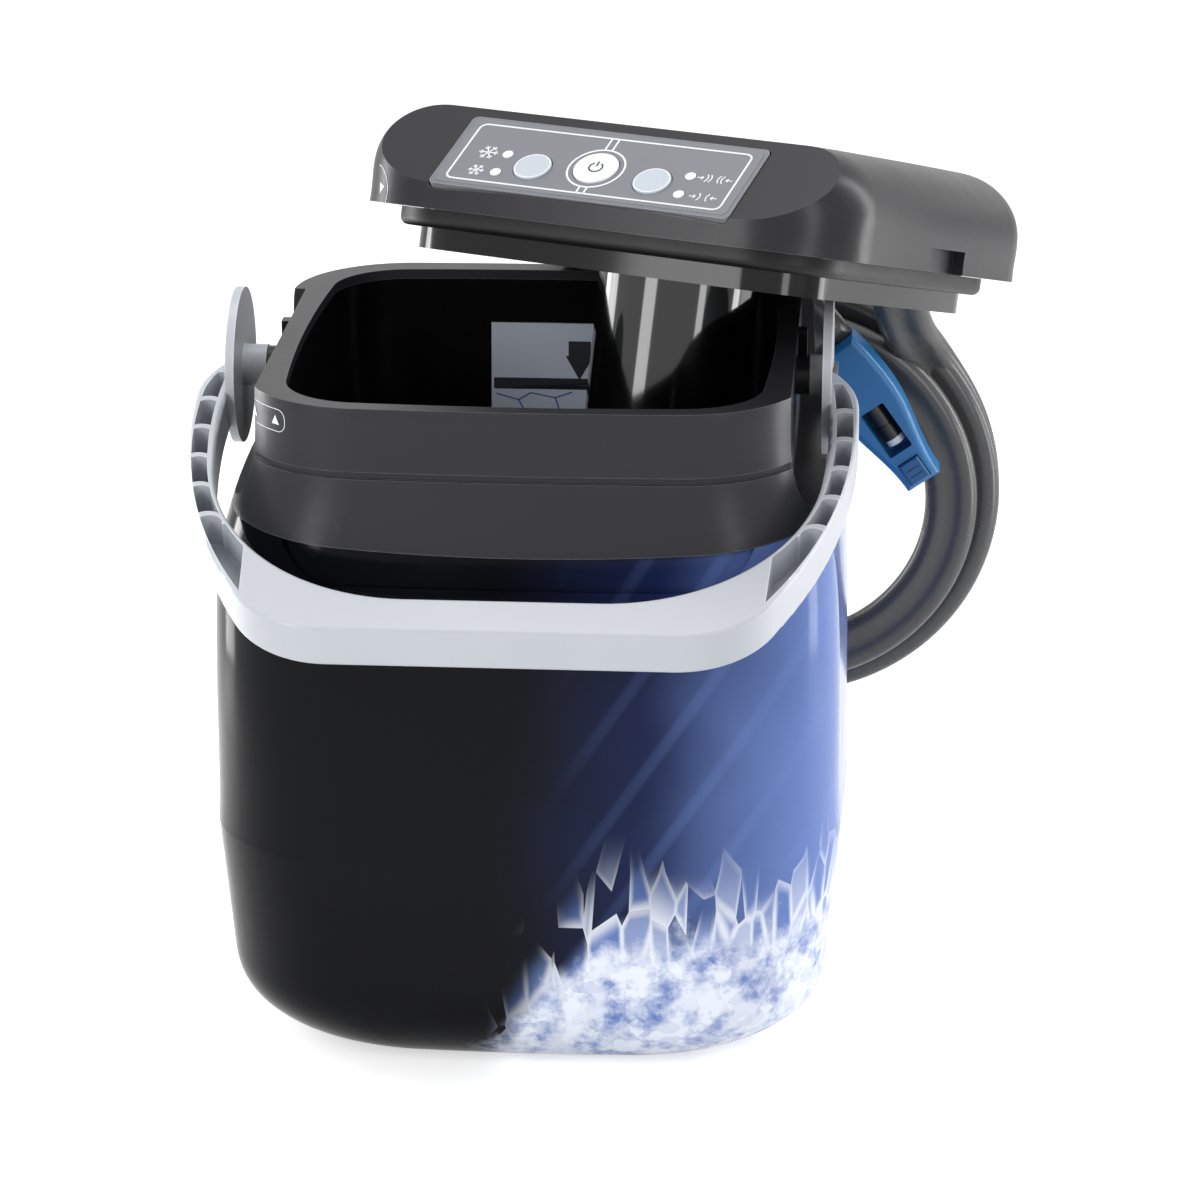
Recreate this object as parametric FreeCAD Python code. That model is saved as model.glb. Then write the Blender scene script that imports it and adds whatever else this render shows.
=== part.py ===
"""Hot and cold therapy machine: an insulated ice bucket, its pump lid lying askew on the rim,
a carry bail, and a hose coiled behind the bucket. Millimetres, +Z up, front at -Y.
The origin is the middle of the rubber base pad's underside."""
import FreeCAD
import Part
import math
import os
from FreeCAD import Placement, Rotation, Vector

# ---------------------------------------------------------------- driving dimensions
# bucket
RIM_WIDTH = 210.0          # collar at the rim, outside
RIM_DEPTH = 216.0
RIM_HEIGHT = 265.0         # above the surface it stands on
BODY_WIDTH = 242.0         # widest, at the seam of the base
BODY_DEPTH = 233.0
BODY_CORNER = 56.0         # plan radius of the body's corners
RIM_CORNER = 46.0
SIDE_BOW = 4.5             # how far each side bulges past its chord
SEAM_HEIGHT = 90.0         # joint between base cap and shell
BASE_DRAFT = 7.5           # how much the base cap narrows, each side
BASE_ROUND = 34.0          # radius under the base cap
SHELL_WALL = 2.6
TONGUE = 6.0               # lap of the base cap inside the shell
TONGUE_WALL = 1.8
COLLAR_WALL = 3.0
COLLAR_DROP_FRONT = 54.0   # rim down to the collar's lower edge at mid front
COLLAR_SMILE = 8.0         # how much that edge climbs towards the sides
GROOVE_DROP = 24.0         # rim down to the groove round the collar
GROOVE_HEIGHT = 2.6
GROOVE_DEPTH = 1.3
RIM_FLANGE = 4.0           # thickness of the collar's top
OPENING_WIDTH = 182.0
OPENING_FRONT = 7.0        # flange width at the front
OPENING_REAR = 10.0        # flange width at the rear
OPENING_CORNER = 30.0
LINER_WALL = 2.4
LINER_DRAFT = 9.0          # how much the tub narrows to its floor, each side
TUB_FLOOR = 34.0           # height of the tub's floor inside
TUB_ROUND = 22.0           # radius round the tub's floor
PAD_WIDTH = 150.0
PAD_DEPTH = 140.0
PAD_THICK = 2.0
PAD_RECESS = 1.0           # how deep the pad sits in the base
BASE_SCREW_SPACING = 92.0
SCREW_HEAD = 7.0
SCREW_SHANK = 3.4
RECESS_DEPTH = 1.8         # hollow in the shell behind the resting bail
RECESS_WIDTH = 176.0
RECESS_BOTTOM = 199.0

# bail and its pivots
PIVOT_HEIGHT = 253.0
PIVOT_Y = -8.0
POCKET_DEPTH = 6.0         # notch in each side of the collar for the bail's ear
POCKET_FRONT = -82.0
POCKET_REAR = 62.0
POCKET_DROP = 44.0
PIN_DIAMETER = 6.0
PIN_HEAD = 11.0
PIN_HEAD_THICK = 1.6
BOSS_DIAMETER = 15.0
BOSS_HEIGHT = 5.0
HUB_DIAMETER = 16.0
BAIL_TILT = 21.5           # how far below level the bail hangs
BAIL_OFFSET = -2.0         # the bail's sideways play, taken up to the left
EAR_RADIUS = 30.0
EAR_THICK = 3.4
EAR_INSIDE = 111.5         # middle of the bail to the ear's inner face
BAIL_HALF_WIDTH = 125.5    # at the widest, outside
BAIL_REACH = 165.3         # pivot to the grip's outer face
BAIL_THICK = 17.5
BAIL_EDGE = 1.5            # rounding of the bail's edges
GRIP_WIDTH = 18.2
ARM_START = 8.0            # pivot to the arm's root on the ear
OUTER_GRIP = 62.4          # mid grip to where the outer bend starts
OUTER_BEND = (97.0, 145.3)     # where that bend ends: out from the middle, out from the pivot
OUTER_SHOULDER = 30.0      # pivot to the arm's widest place
INNER_GRIP = 35.0
INNER_BEND = (93.7, 120.0)
INNER_SHOULDER = (112.9, 76.0)
ARM_POCKETS = 6
POCKET_RIB = 2.2
POCKET_WALL = 2.4
POCKET_FLOOR = 3.5
POCKET_ARCH = 5.0          # radius of the pockets' upper ends

# lid, in its own frame: origin at the middle of its base plane
LID_YAW = -23.6
LID_TILT = -15.7
LID_AT = (58.8, 27.4, 295.5)
LID_HEIGHT = 40.0
LID_WALL = 2.8
LID_ROUND = 25.0
LID_CORNER = 40.0
FACIA_SLOPE = 41.2         # control face above level
FACIA_DROP = 8.4           # front wall left under the control face
GASKET_INSET = 11.0
GASKET_DROP = 7.0
SKIRT_INSET = 18.0
SKIRT_DROP = 15.0
SKIRT_WALL = 2.4
TRAY_DROP = 7.3            # pan of the tray below the base plane
TRAY_THICK = 2.4
EAR_NOTCH_WIDTH = 34.0
EAR_NOTCH_HEIGHT = 9.0
EAR_NOTCH_DEPTH = 5.0
LID_SCREW_X = 66.0
LID_SCREW_Y = 62.0
SCREW_BOSS = 9.0

# control panel, across and up the facia
PANEL_WIDTH = 124.0
PANEL_HEIGHT = 41.0
PANEL_THICK = 2.4
PANEL_CORNER = 2.5
PANEL_PROUD = 0.6
OVERLAY_THICK = 0.7
OVERLAY_MARGIN = 1.6
SOFT_KEY = 14.6            # cold and compression buttons
POWER_KEY = 17.4
SOFT_KEY_OFFSET = 24.8     # from the middle of the panel
SOFT_KEY_UP = -5.2
POWER_KEY_UP = -1.6
KEY_PROUD = 0.7
KEY_TRAVEL = 0.6
KEY_STEM = 6.0
LED_DIAMETER = 4.2
LED_OFFSET = 38.0
LED_UP = (0.4, -10.4)
BOARD_THICK = 1.6
BOARD_DROP = 9.0           # panel face to the board's face
DOME_HEIGHT = 1.4

# pump tower
TOWER_TOP = 64.0
TOWER_END = 57.0
TOWER_LENGTH = 150.0
TOWER_WALL = 2.4
TOWER_X = -16.0
TOWER_Y = 22.0
STRAINER_HEIGHT = 26.0
MOTOR_DIAMETER = 40.0
MOTOR_LENGTH = 58.0
IMPELLER_DIAMETER = 30.0
IMPELLER_BLADES = 6
SHAFT_DIAMETER = 4.0

# machinery in the lid
COMPRESSOR_SIZE = (60.0, 40.0, 22.0)
COMPRESSOR_AT = (-24.0, -38.0)
COMPRESSOR_HEAD = 22.0
COMPRESSOR_RISE = 10.0     # head above the block
VALVE_SIZE = (34.0, 22.0, 20.0)
VALVE_AT = (38.0, 40.0)
VALVE_PORT = 6.0
TUBE_DIAMETER = 7.0
POWER_SOCKET = 11.0
POWER_BORE = 6.5
POWER_DEPTH = 12.0

# hose
HOSE_DIAMETER = 18.0
GLAND_X = 30.0
GLAND_Z = 12.0
GLAND_FLANGE = 24.0
NECK_RISE = 4.0            # neck's root above the gland's sleeve
GLAND_LENGTH = 26.0
GLAND_LEAN = 50.0          # how steeply the gland points down from level
COIL_AT = (91.5, 158.0, 155.0)
COIL_RADIUS = 91.0         # outside
COIL_INNER = 57.0
COIL_DEPTH = 41.0
COIL_EDGE = 8.0
TIE_WIDTH = 18.0
TIE_THICK = 1.8
TIE_PLAY = 0.8
TAIL_Y = 127.5             # the hose's last bend and the connector lie in this plane
CONNECTOR_FROM = (109.6, 227.5)
CONNECTOR_TO = (149.5, 171.3)
CONNECTOR_WIDTH = 26.0
CONNECTOR_LEAD = 28.0      # straight hose behind the connector
CONNECTOR_TAIL = 22.0
CONNECTOR_TIP = 15.6
CONNECTOR_THICK = 18.0
WINDOW_LENGTH = 22.0
WINDOW_WIDTH = 11.0
WINDOW_DEPTH = 11.0
WINDOW_CORNER = 1.0
BARREL_DIAMETER = 8.6
LATCH_LENGTH = 10.0
LATCH_WIDTH = 9.0
LATCH_PROUD = 1.6
LATCH_TRAVEL = 1.2

# clearances
SEAT = 0.15                # between parts that seat on each other
RUNNING = 0.35             # round a part that moves
BACKING = 0.4              # between curved walls that back each other


# ---------------------------------------------------------------- helpers
def export(shape, node):
    """Write one node to its STEP file."""
    if not shape.isValid():
        print("invalid shape:", node)
    shape.exportStep("parts/%s.step" % node)


def fuse(shapes):
    """Join shapes into one clean solid."""
    first, rest = shapes[0], shapes[1:]
    return first.fuse(rest).removeSplitter() if rest else first


def group(shapes):
    """Several separate solids in one node."""
    return Part.makeCompound(shapes)


def flip(shape):
    """The other hand of a shape."""
    return shape.mirror(Vector(), Vector(1, 0, 0))


def flip_point(point):
    """The other hand of a point."""
    return Vector(-point.x, point.y, point.z)


def bowed_rectangle(width, depth, corner, z=0.0, bow=SIDE_BOW, shift=0.0):
    """Wire of a rectangle with bulging sides and round corners, symmetric about both axes."""
    half_w, half_d = width / 2, depth / 2
    corner = max(min(corner, 0.46 * min(width, depth)), 1.0)
    corner_x, corner_y = half_w - bow, half_d - bow
    corners = [Vector(corner_x, shift - corner_y, z), Vector(corner_x, shift + corner_y, z),
               Vector(-corner_x, shift + corner_y, z), Vector(-corner_x, shift - corner_y, z)]
    middles = [Vector(half_w, shift, z), Vector(0, shift + half_d, z),
               Vector(-half_w, shift, z), Vector(0, shift - half_d, z)]
    sides = [Part.Arc(corners[n], middles[n], corners[(n + 1) % 4]).toShape() for n in range(4)]
    block = Part.Face(Part.Wire(sides)).extrude(Vector(0, 0, 1))
    uprights = [e for e in block.Edges if e.BoundBox.XLength < 1e-3 and e.BoundBox.YLength < 1e-3]
    block = block.makeFillet(corner, uprights)
    floor = [f for f in block.Faces if f.BoundBox.ZMax < z + 1e-3][0]
    return floor.OuterWire


def prism(wire, height):
    """Solid standing on a flat closed wire."""
    return Part.Face(wire).extrude(Vector(0, 0, height))


def bowed_block(width, depth, corner, z, height, bow=SIDE_BOW, shift=0.0):
    """Upright block with a bowed rectangular plan."""
    return prism(bowed_rectangle(width, depth, corner, z, bow, shift), height)


def box(low, high):
    """Box between two corners."""
    size = [b - a for a, b in zip(low, high)]
    return Part.makeBox(size[0], size[1], size[2], Vector(*low))


def rod(diameter, length, at, along=Vector(0, 0, 1)):
    """Cylinder from `at` along a direction."""
    return Part.makeCylinder(diameter / 2, length, at, along)


def rounded_plate(width, height, corner, z, thick):
    """Plate with round corners, centred on the local origin."""
    plate = box((-width / 2, -height / 2, z), (width / 2, height / 2, z + thick))
    upright = [e for e in plate.Edges if abs(e.BoundBox.ZLength - thick) < 1e-6]
    return plate.makeFillet(min(corner, 0.45 * min(width, height)), upright)


def revolve_z(points):
    """Solid of revolution about Z from (radius, z) points."""
    wire = Part.makePolygon([Vector(r, 0, z) for r, z in points + points[:1]])
    return Part.Face(wire).revolve(Vector(), Vector(0, 0, 1), 360)


def tube_along(points, diameter, label):
    """Round tube along straight runs joined by tangent arcs, each as large as its runs allow."""
    edges = []
    start = points[0]
    radii = []
    for before, at, after in zip(points, points[1:], points[2:]):
        run_in, run_out = before - at, after - at
        shorter = min(run_in.Length, run_out.Length)
        run_in.normalize()
        run_out.normalize()
        half_turn = (math.pi - run_in.getAngle(run_out)) / 2
        radius = 0.45 * shorter / math.tan(half_turn)
        setback = 0.45 * shorter
        bisector = (run_in + run_out).normalize()
        to_centre = math.hypot(radius, setback)
        middle = at + bisector * (to_centre - radius)
        edges.append(Part.LineSegment(start, at + run_in * setback).toShape())
        edges.append(Part.Arc(at + run_in * setback, middle, at + run_out * setback).toShape())
        start = at + run_out * setback
        radii.append(radius)
    edges.append(Part.LineSegment(start, points[-1]).toShape())
    path = Part.Wire(edges)
    profile = Part.Wire(Part.makeCircle(diameter / 2, points[0], points[1] - points[0]))
    tube = path.makePipeShell([profile], True, True)
    expected = math.pi * diameter ** 2 / 4 * path.Length
    print("%s: radii %s mm, length %.1f mm, volume ratio %.4f"
          % (label, [round(r) for r in radii], path.Length, tube.Volume / expected))
    return tube


# ---------------------------------------------------------------- body form
def body_inset(z):
    """How far the body's side stands in from its widest, at a height: (sides, front and rear)."""
    rim_x = (BODY_WIDTH - RIM_WIDTH) / 2
    rim_y = (BODY_DEPTH - RIM_DEPTH) / 2
    if z < SEAM_HEIGHT:
        draft = BASE_DRAFT * (SEAM_HEIGHT - z) / SEAM_HEIGHT
        rise = max(BASE_ROUND - z, 0.0) / BASE_ROUND
        rounding = BASE_ROUND * (1 - math.sqrt(max(1 - rise * rise, 0.0)))
        return draft + rounding, draft + rounding
    share = (z - SEAM_HEIGHT) / (RIM_HEIGHT - SEAM_HEIGHT)
    waist = 0.18 * share + 0.82 / (1 + math.exp(-(share - 0.73) * 17))
    return rim_x * waist, rim_y * waist


def body_form(inset, bottom, top):
    """The bucket's outside, drawn in by a wall, between two heights."""
    steps = [0, 0.03, 0.08, 0.16, 0.3, 0.5, 0.75, 1.0]
    low = max(bottom, PAD_THICK - PAD_RECESS)
    heights = []
    if low < BASE_ROUND:
        heights += [low + s * (BASE_ROUND - low) for s in steps]
        heights += [BASE_ROUND + s * (SEAM_HEIGHT - BASE_ROUND) for s in (0.25, 0.5, 0.75)]
        low = SEAM_HEIGHT
    heights += [z for z in (low, SEAM_HEIGHT, SEAM_HEIGHT + 45, SEAM_HEIGHT + 85, RIM_HEIGHT - 62, RIM_HEIGHT - 48,
                            RIM_HEIGHT - 36, RIM_HEIGHT - 20, top) if low <= z <= top]
    wires = []
    for z in sorted(set(round(h, 4) for h in heights)):
        side, front = body_inset(z)
        share = min(max((z - SEAM_HEIGHT) / (RIM_HEIGHT - SEAM_HEIGHT), 0.0), 1.0)
        corner = BODY_CORNER + (RIM_CORNER - BODY_CORNER) * share - inset
        width = BODY_WIDTH - 2 * (side + inset)
        depth = BODY_DEPTH - 2 * (front + inset)
        wires.append(bowed_rectangle(width, depth, corner, z))
    return Part.makeLoft(wires, True, False)


def above_smile(gap=0.0):
    """Everything over the collar's lower edge, an arc that climbs from mid front to the sides."""
    reach = BODY_WIDTH / 2 + 10
    low = RIM_HEIGHT - COLLAR_DROP_FRONT + gap
    side = low + COLLAR_SMILE
    arc = Part.Arc(Vector(-reach, -200, side), Vector(0, -200, low), Vector(reach, -200, side)).toShape()
    top = RIM_HEIGHT + 50
    corners = [Vector(reach, -200, side), Vector(reach, -200, top), Vector(-reach, -200, top),
               Vector(-reach, -200, side)]
    wire = Part.Wire([arc] + Part.makePolygon(corners).Edges)
    return Part.Face(wire).extrude(Vector(0, 400, 0))


OPENING_DEPTH = RIM_DEPTH - OPENING_FRONT - OPENING_REAR
OPENING_SHIFT = (OPENING_FRONT - OPENING_REAR) / 2
LINER_TOP = RIM_HEIGHT - RIM_FLANGE - SEAT
POCKET_X = RIM_WIDTH / 2 - POCKET_DEPTH
POCKET_INSIDE = POCKET_X - COLLAR_WALL


def tub_form(inset, top=None):
    """The tub's inside, grown by a negative inset or drawn in by a positive one."""
    top = LINER_TOP if top is None else top
    floor = TUB_FLOOR + inset
    wires = []
    for share in (0.0, 0.02, 0.06, 0.1, 0.16, 0.3, 0.5, 0.75, 1.0):
        z = floor + share * (top - floor)
        rise = 1 - min(share * (top - floor) / TUB_ROUND, 1.0)
        drawn = LINER_DRAFT * (1 - share) + TUB_ROUND * (1 - math.sqrt(1 - rise * rise)) + inset
        wires.append(bowed_rectangle(OPENING_WIDTH - 2 * drawn, OPENING_DEPTH - 2 * drawn,
                                     OPENING_CORNER - inset, z, shift=OPENING_SHIFT))
    return Part.makeLoft(wires, True, False)


# ---------------------------------------------------------------- bucket parts
def base_screw_places():
    """The four screws under the base."""
    half = BASE_SCREW_SPACING / 2
    return [(sx * half, sy * half) for sx in (-1, 1) for sy in (-1, 1)]


def base_pad():
    """Rubber pad that the bucket stands on, with holes over the screws."""
    pad = rounded_plate(PAD_WIDTH, PAD_DEPTH, 24.0, 0.0, PAD_THICK)
    edges = [e for e in pad.Edges if e.BoundBox.ZMax < 1e-6]
    return pad.makeChamfer(0.5, edges)


def base_cap():
    """Lower moulding of the bucket, with a pad recess and screw bosses."""
    floor = PAD_THICK - PAD_RECESS
    outside = body_form(0.0, floor, SEAM_HEIGHT)
    inside = body_form(SHELL_WALL, floor, SEAM_HEIGHT)
    inside.translate(Vector(0, 0, SHELL_WALL + PAD_RECESS))
    cap = outside.cut(inside)
    cap = cap.cut(rounded_plate(PAD_WIDTH + 2 * SEAT, PAD_DEPTH + 2 * SEAT, 24.0 + SEAT, 0.0, PAD_THICK))
    boss_low = PAD_THICK + SHELL_WALL - 0.5
    boss_top = TUB_FLOOR - LINER_WALL - BACKING - 4.0
    for x, y in base_screw_places():
        cap = cap.fuse(rod(SCREW_BOSS, boss_top - boss_low, Vector(x, y, boss_low)))
        cap = cap.cut(rod(SCREW_SHANK + 2 * SEAT, boss_top, Vector(x, y, 0)))
        cap = cap.cut(rod(SCREW_HEAD + 2 * SEAT, PAD_THICK + 2.4, Vector(x, y, 0)))
    lip = SHELL_WALL + SEAT
    back = lip + TONGUE_WALL
    root = body_form(SHELL_WALL - 0.4, SEAM_HEIGHT - TONGUE, RIM_HEIGHT)
    root = root.cut(body_form(back, SEAM_HEIGHT - TONGUE, RIM_HEIGHT))
    root = root.common(box((-200, -200, 0), (200, 200, SEAM_HEIGHT)))
    tongue = body_form(lip, SEAM_HEIGHT, RIM_HEIGHT).cut(body_form(back, SEAM_HEIGHT, RIM_HEIGHT))
    tongue = tongue.common(box((-200, -200, 0), (200, 200, SEAM_HEIGHT + TONGUE)))
    return cap.fuse(root).fuse(tongue)


def base_screws():
    """Pan-head screws that hold the base cap."""
    screws = []
    for x, y in base_screw_places():
        head_at = PAD_THICK + SEAT
        head = rod(SCREW_HEAD, 2.2, Vector(x, y, head_at))
        shank = rod(SCREW_SHANK, 20.0, Vector(x, y, head_at + 2.2))
        slot = box((x - 2.4, y - 0.5, head_at), (x + 2.4, y + 0.5, head_at + 1.0))
        screws.append(head.fuse(shank).cut(slot))
    return group(screws)


def outer_shell():
    """Glossy wall of the bucket, from the seam to the collar."""
    outside = body_form(0.0, SEAM_HEIGHT, RIM_HEIGHT)
    inside = body_form(SHELL_WALL, SEAM_HEIGHT, RIM_HEIGHT)
    shell = outside.cut(inside).cut(above_smile(-SEAT))
    return shell.cut(shell_recess())


def shell_recess():
    """Shallow hollow behind the resting bail."""
    y_front = -BODY_DEPTH / 2
    pane = rounded_plate(RECESS_WIDTH, 2 * (RIM_HEIGHT - RECESS_BOTTOM), 22.0, 0.0, 40.0)
    pane.rotate(Vector(), Vector(1, 0, 0), 90)
    pane.translate(Vector(0, y_front + 40.0, RIM_HEIGHT))
    skin = body_form(RECESS_DEPTH, SEAM_HEIGHT, RIM_HEIGHT)
    outer_slab = pane.cut(skin)
    return outer_slab.common(box((-200, -200, RECESS_BOTTOM - 1), (200, -40, RIM_HEIGHT)))


def collar():
    """Rim moulding: flange with the opening, two bands with a groove, side pockets and bosses."""
    form = body_form(0.0, RIM_HEIGHT - 90, RIM_HEIGHT).common(above_smile(0.0))
    hollow = body_form(COLLAR_WALL, RIM_HEIGHT - 90, RIM_HEIGHT)
    hollow = hollow.common(box((-POCKET_INSIDE, -200, 0), (POCKET_INSIDE, 200, RIM_HEIGHT - RIM_FLANGE)))
    opening = bowed_block(OPENING_WIDTH, OPENING_DEPTH, OPENING_CORNER, RIM_HEIGHT - 100, 200,
                          shift=OPENING_SHIFT)
    body = form.cut(hollow).cut(opening)
    groove_z = RIM_HEIGHT - GROOVE_DROP - GROOVE_HEIGHT
    side, front = body_inset(groove_z + GROOVE_HEIGHT / 2)
    ring = bowed_block(BODY_WIDTH + 20, BODY_DEPTH + 20, BODY_CORNER, groove_z, GROOVE_HEIGHT)
    core = bowed_block(BODY_WIDTH - 2 * (side + GROOVE_DEPTH), BODY_DEPTH - 2 * (front + GROOVE_DEPTH),
                       RIM_CORNER, groove_z - 1, GROOVE_HEIGHT + 2)
    body = body.cut(ring.cut(core))
    for hand in (-1, 1):
        body = body.cut(side_pocket(hand))
        body = body.fuse(pivot_boss(hand))
        body = body.cut(rod(PIN_DIAMETER + 2 * SEAT, 30, Vector(hand * (POCKET_INSIDE - 5), PIVOT_Y, PIVOT_HEIGHT),
                            Vector(hand, 0, 0)))
    return body.removeSplitter()


def side_pocket(hand):
    """Notch in one side of the collar, open at the top, that the bail's ear swings in."""
    low = RIM_HEIGHT - POCKET_DROP
    notch = box((POCKET_X, POCKET_FRONT, low), (POCKET_X + 60, POCKET_REAR, RIM_HEIGHT + 20))
    uprights = [e for e in notch.Edges
                if e.BoundBox.YLength < 1e-6 and e.BoundBox.XLength > 1 and e.BoundBox.ZMax < RIM_HEIGHT]
    notch = notch.makeFillet(10.0, uprights)
    return notch if hand > 0 else flip(notch)


def pivot_boss(hand):
    """Boss on the pocket's floor that carries the bail's pin."""
    boss = rod(BOSS_DIAMETER, BOSS_HEIGHT, Vector(POCKET_X, PIVOT_Y, PIVOT_HEIGHT), Vector(1, 0, 0))
    lug = box((POCKET_X, PIVOT_Y + 24, PIVOT_HEIGHT - 14), (POCKET_X + 3.5, PIVOT_Y + 30, RIM_HEIGHT - 1))
    pair = boss.fuse(lug)
    return pair if hand > 0 else flip(pair)


def inner_liner():
    """Tub that holds the ice and water, hung under the collar's flange."""
    grown = tub_form(-LINER_WALL)
    lip = bowed_block(OPENING_WIDTH + 2 * LINER_WALL + 6, OPENING_DEPTH + 2 * LINER_WALL + 5,
                      OPENING_CORNER + LINER_WALL, LINER_TOP - 3.0, 3.0, shift=OPENING_SHIFT)
    lip = lip.common(box((-POCKET_INSIDE + SEAT, -200, 0), (POCKET_INSIDE - SEAT, 200, 400)))
    limit = body_form(COLLAR_WALL + SEAT, RIM_HEIGHT - 90, RIM_HEIGHT)
    lip = lip.common(limit)
    return grown.fuse(lip).cut(tub_form(0.0)).removeSplitter()


def foam_insulation():
    """Foam that fills the space between tub and walls."""
    gap = SHELL_WALL + BACKING
    low = PAD_THICK + SHELL_WALL + PAD_RECESS + BACKING
    top = RIM_HEIGHT - COLLAR_DROP_FRONT - 12.0
    foam = body_form(gap + 2.2, 0.0, RIM_HEIGHT)
    foam.translate(Vector(0, 0, low - PAD_THICK + PAD_RECESS))
    foam = foam.common(box((-200, -200, low), (200, 200, top)))
    foam = foam.cut(tub_form(-LINER_WALL - BACKING, top=RIM_HEIGHT))
    boss_top = TUB_FLOOR - LINER_WALL - BACKING - 4.0
    for x, y in base_screw_places():
        foam = foam.cut(rod(SCREW_BOSS + 2 * BACKING, boss_top + BACKING, Vector(x, y, 0)))
    return foam


def fill_label():
    """Thin plate on the tub's rear wall that marks the ice level."""
    skin = tub_form(0.3).cut(tub_form(1.1))
    return skin.common(box((-28.0, 60.0, 200.0), (32.0, 130.0, 243.0)))


def pivot_pins():
    """The two pins that the bail turns on, each with a flat head outside the ear."""
    pins = []
    for hand in (-1, 1):
        start = POCKET_INSIDE + 0.5
        head_at = EAR_INSIDE + EAR_THICK + hand * BAIL_OFFSET + RUNNING
        pin = rod(PIN_DIAMETER, head_at - start, Vector(start, PIVOT_Y, PIVOT_HEIGHT), Vector(1, 0, 0))
        head = rod(PIN_HEAD, PIN_HEAD_THICK, Vector(head_at, PIVOT_Y, PIVOT_HEIGHT), Vector(1, 0, 0))
        whole = pin.fuse(head)
        pins.append(whole if hand > 0 else flip(whole))
    return pins


# ---------------------------------------------------------------- bail
def tangent_arc(start, heading, end):
    """Arc that leaves `start` along a heading and ends at `end`, and its heading there."""
    chord = end - start
    along = Vector(chord).normalize()
    ahead = along * heading.dot(along)
    aside = heading - ahead
    turn = math.atan2(aside.Length, ahead.Length)
    middle = (start + end) * 0.5
    if aside.Length > 1e-9:
        middle += Vector(aside).normalize() * (chord.Length / 2 * math.tan(turn / 2))
    return Part.Arc(start, middle, end).toShape(), ahead - aside


def bail_lines(wall=0.0):
    """Outer and inner line of the bail's right half, from grip to ear, each drawn into the arm by a wall."""
    lines = []
    for grip, reach, bend, shoulder, ear, inward in (
            (OUTER_GRIP, BAIL_REACH, OUTER_BEND, (BAIL_HALF_WIDTH, OUTER_SHOULDER), EAR_INSIDE + EAR_THICK, -wall),
            (INNER_GRIP, BAIL_REACH - GRIP_WIDTH, INNER_BEND, INNER_SHOULDER, EAR_INSIDE, wall)):
        at = Vector(grip, -reach - inward, 0)
        heading = Vector(1, 0, 0)
        edges = []
        for x, out in (bend, shoulder, (ear, ARM_START)):
            edge, heading = tangent_arc(at, heading, Vector(x + inward, -out, 0))
            at = Vector(x + inward, -out, 0)
            edges.append(edge)
        lines.append(edges)
    return lines


def closed_face(edges, joins):
    """Face bounded by edges and by straight joins between pairs of points."""
    edges = edges + [Part.LineSegment(first, last).toShape() for first, last in joins]
    return Part.Face(Part.Wire(Part.__sortEdges__(edges)))


def bail_plan():
    """Face of the bail seen square on: two arms that flare, bend and meet in the grip."""
    outer, inner = bail_lines()
    joins = []
    for first, last in ((outer[-1].Vertexes[-1].Point, inner[-1].Vertexes[-1].Point),):
        joins += [(first, last), (flip_point(first), flip_point(last))]
    for line in (outer, inner):
        grip = line[0].Vertexes[0].Point
        joins.append((grip, flip_point(grip)))
    return closed_face(outer + inner + [flip(e) for e in outer + inner], joins)


def arm_band():
    """Face inside the right arm's walls, from its root to its bend."""
    outer, inner = (line[1:] for line in bail_lines(POCKET_WALL))
    return closed_face(outer + inner, [(outer[0].Vertexes[0].Point, inner[0].Vertexes[0].Point),
                                       (outer[-1].Vertexes[-1].Point, inner[-1].Vertexes[-1].Point)])


def arm_pockets():
    """Open pockets down the right arm, arched at their upper ends, with thin ribs between them."""
    band = arm_band().extrude(Vector(0, 0, BAIL_THICK))
    band.translate(Vector(0, 0, POCKET_FLOOR - BAIL_THICK / 2))
    first = OUTER_SHOULDER * 0.55
    pitch = (INNER_BEND[1] - first) / ARM_POCKETS

    def arched(top, radius):
        slice_there = band.common(box((0, -top - 1, -50), (200, -top, 50)))
        middle = Vector(slice_there.BoundBox.Center.x, -top - radius, -50)
        head = rod(2 * radius, 100, middle)
        return head.fuse(box((0, -300, -50), (200, middle.y, 50)))

    pockets = []
    for n in range(ARM_POCKETS):
        top = first + n * pitch
        pocket = band.common(arched(top, POCKET_ARCH))
        if n + 1 < ARM_POCKETS:
            pocket = pocket.cut(arched(top + pitch - POCKET_RIB, POCKET_ARCH + POCKET_RIB))
        pockets.append(pocket)
    return pockets


def carry_bail():
    """Carry bail in one moulding: ears, hubs, ribbed open arms and a smooth grip."""
    frame = bail_plan().extrude(Vector(0, 0, BAIL_THICK))
    frame.translate(Vector(0, 0, -BAIL_THICK / 2))
    rims = [e for e in frame.Edges if e.BoundBox.ZLength < 1e-3]
    frame = frame.makeFillet(BAIL_EDGE, rims)
    for pocket in arm_pockets():
        frame = frame.cut(pocket).cut(flip(pocket))
    solids = [frame]
    for hand in (-1, 1):
        ear = rod(2 * EAR_RADIUS, EAR_THICK, Vector(EAR_INSIDE, 0, 0), Vector(1, 0, 0))
        hub_inside = POCKET_X + BOSS_HEIGHT + RUNNING - BAIL_OFFSET * hand
        hub = rod(HUB_DIAMETER, EAR_INSIDE - hub_inside, Vector(hub_inside, 0, 0), Vector(1, 0, 0))
        solids += [ear, hub] if hand > 0 else [flip(ear), flip(hub)]
    bail = fuse(solids)
    bail = bail.cut(rod(PIN_DIAMETER + 2 * RUNNING, 400, Vector(-200, 0, 0), Vector(1, 0, 0)))
    bail.rotate(Vector(), Vector(1, 0, 0), BAIL_TILT)
    bail.translate(Vector(BAIL_OFFSET, PIVOT_Y, PIVOT_HEIGHT))
    return bail


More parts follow.
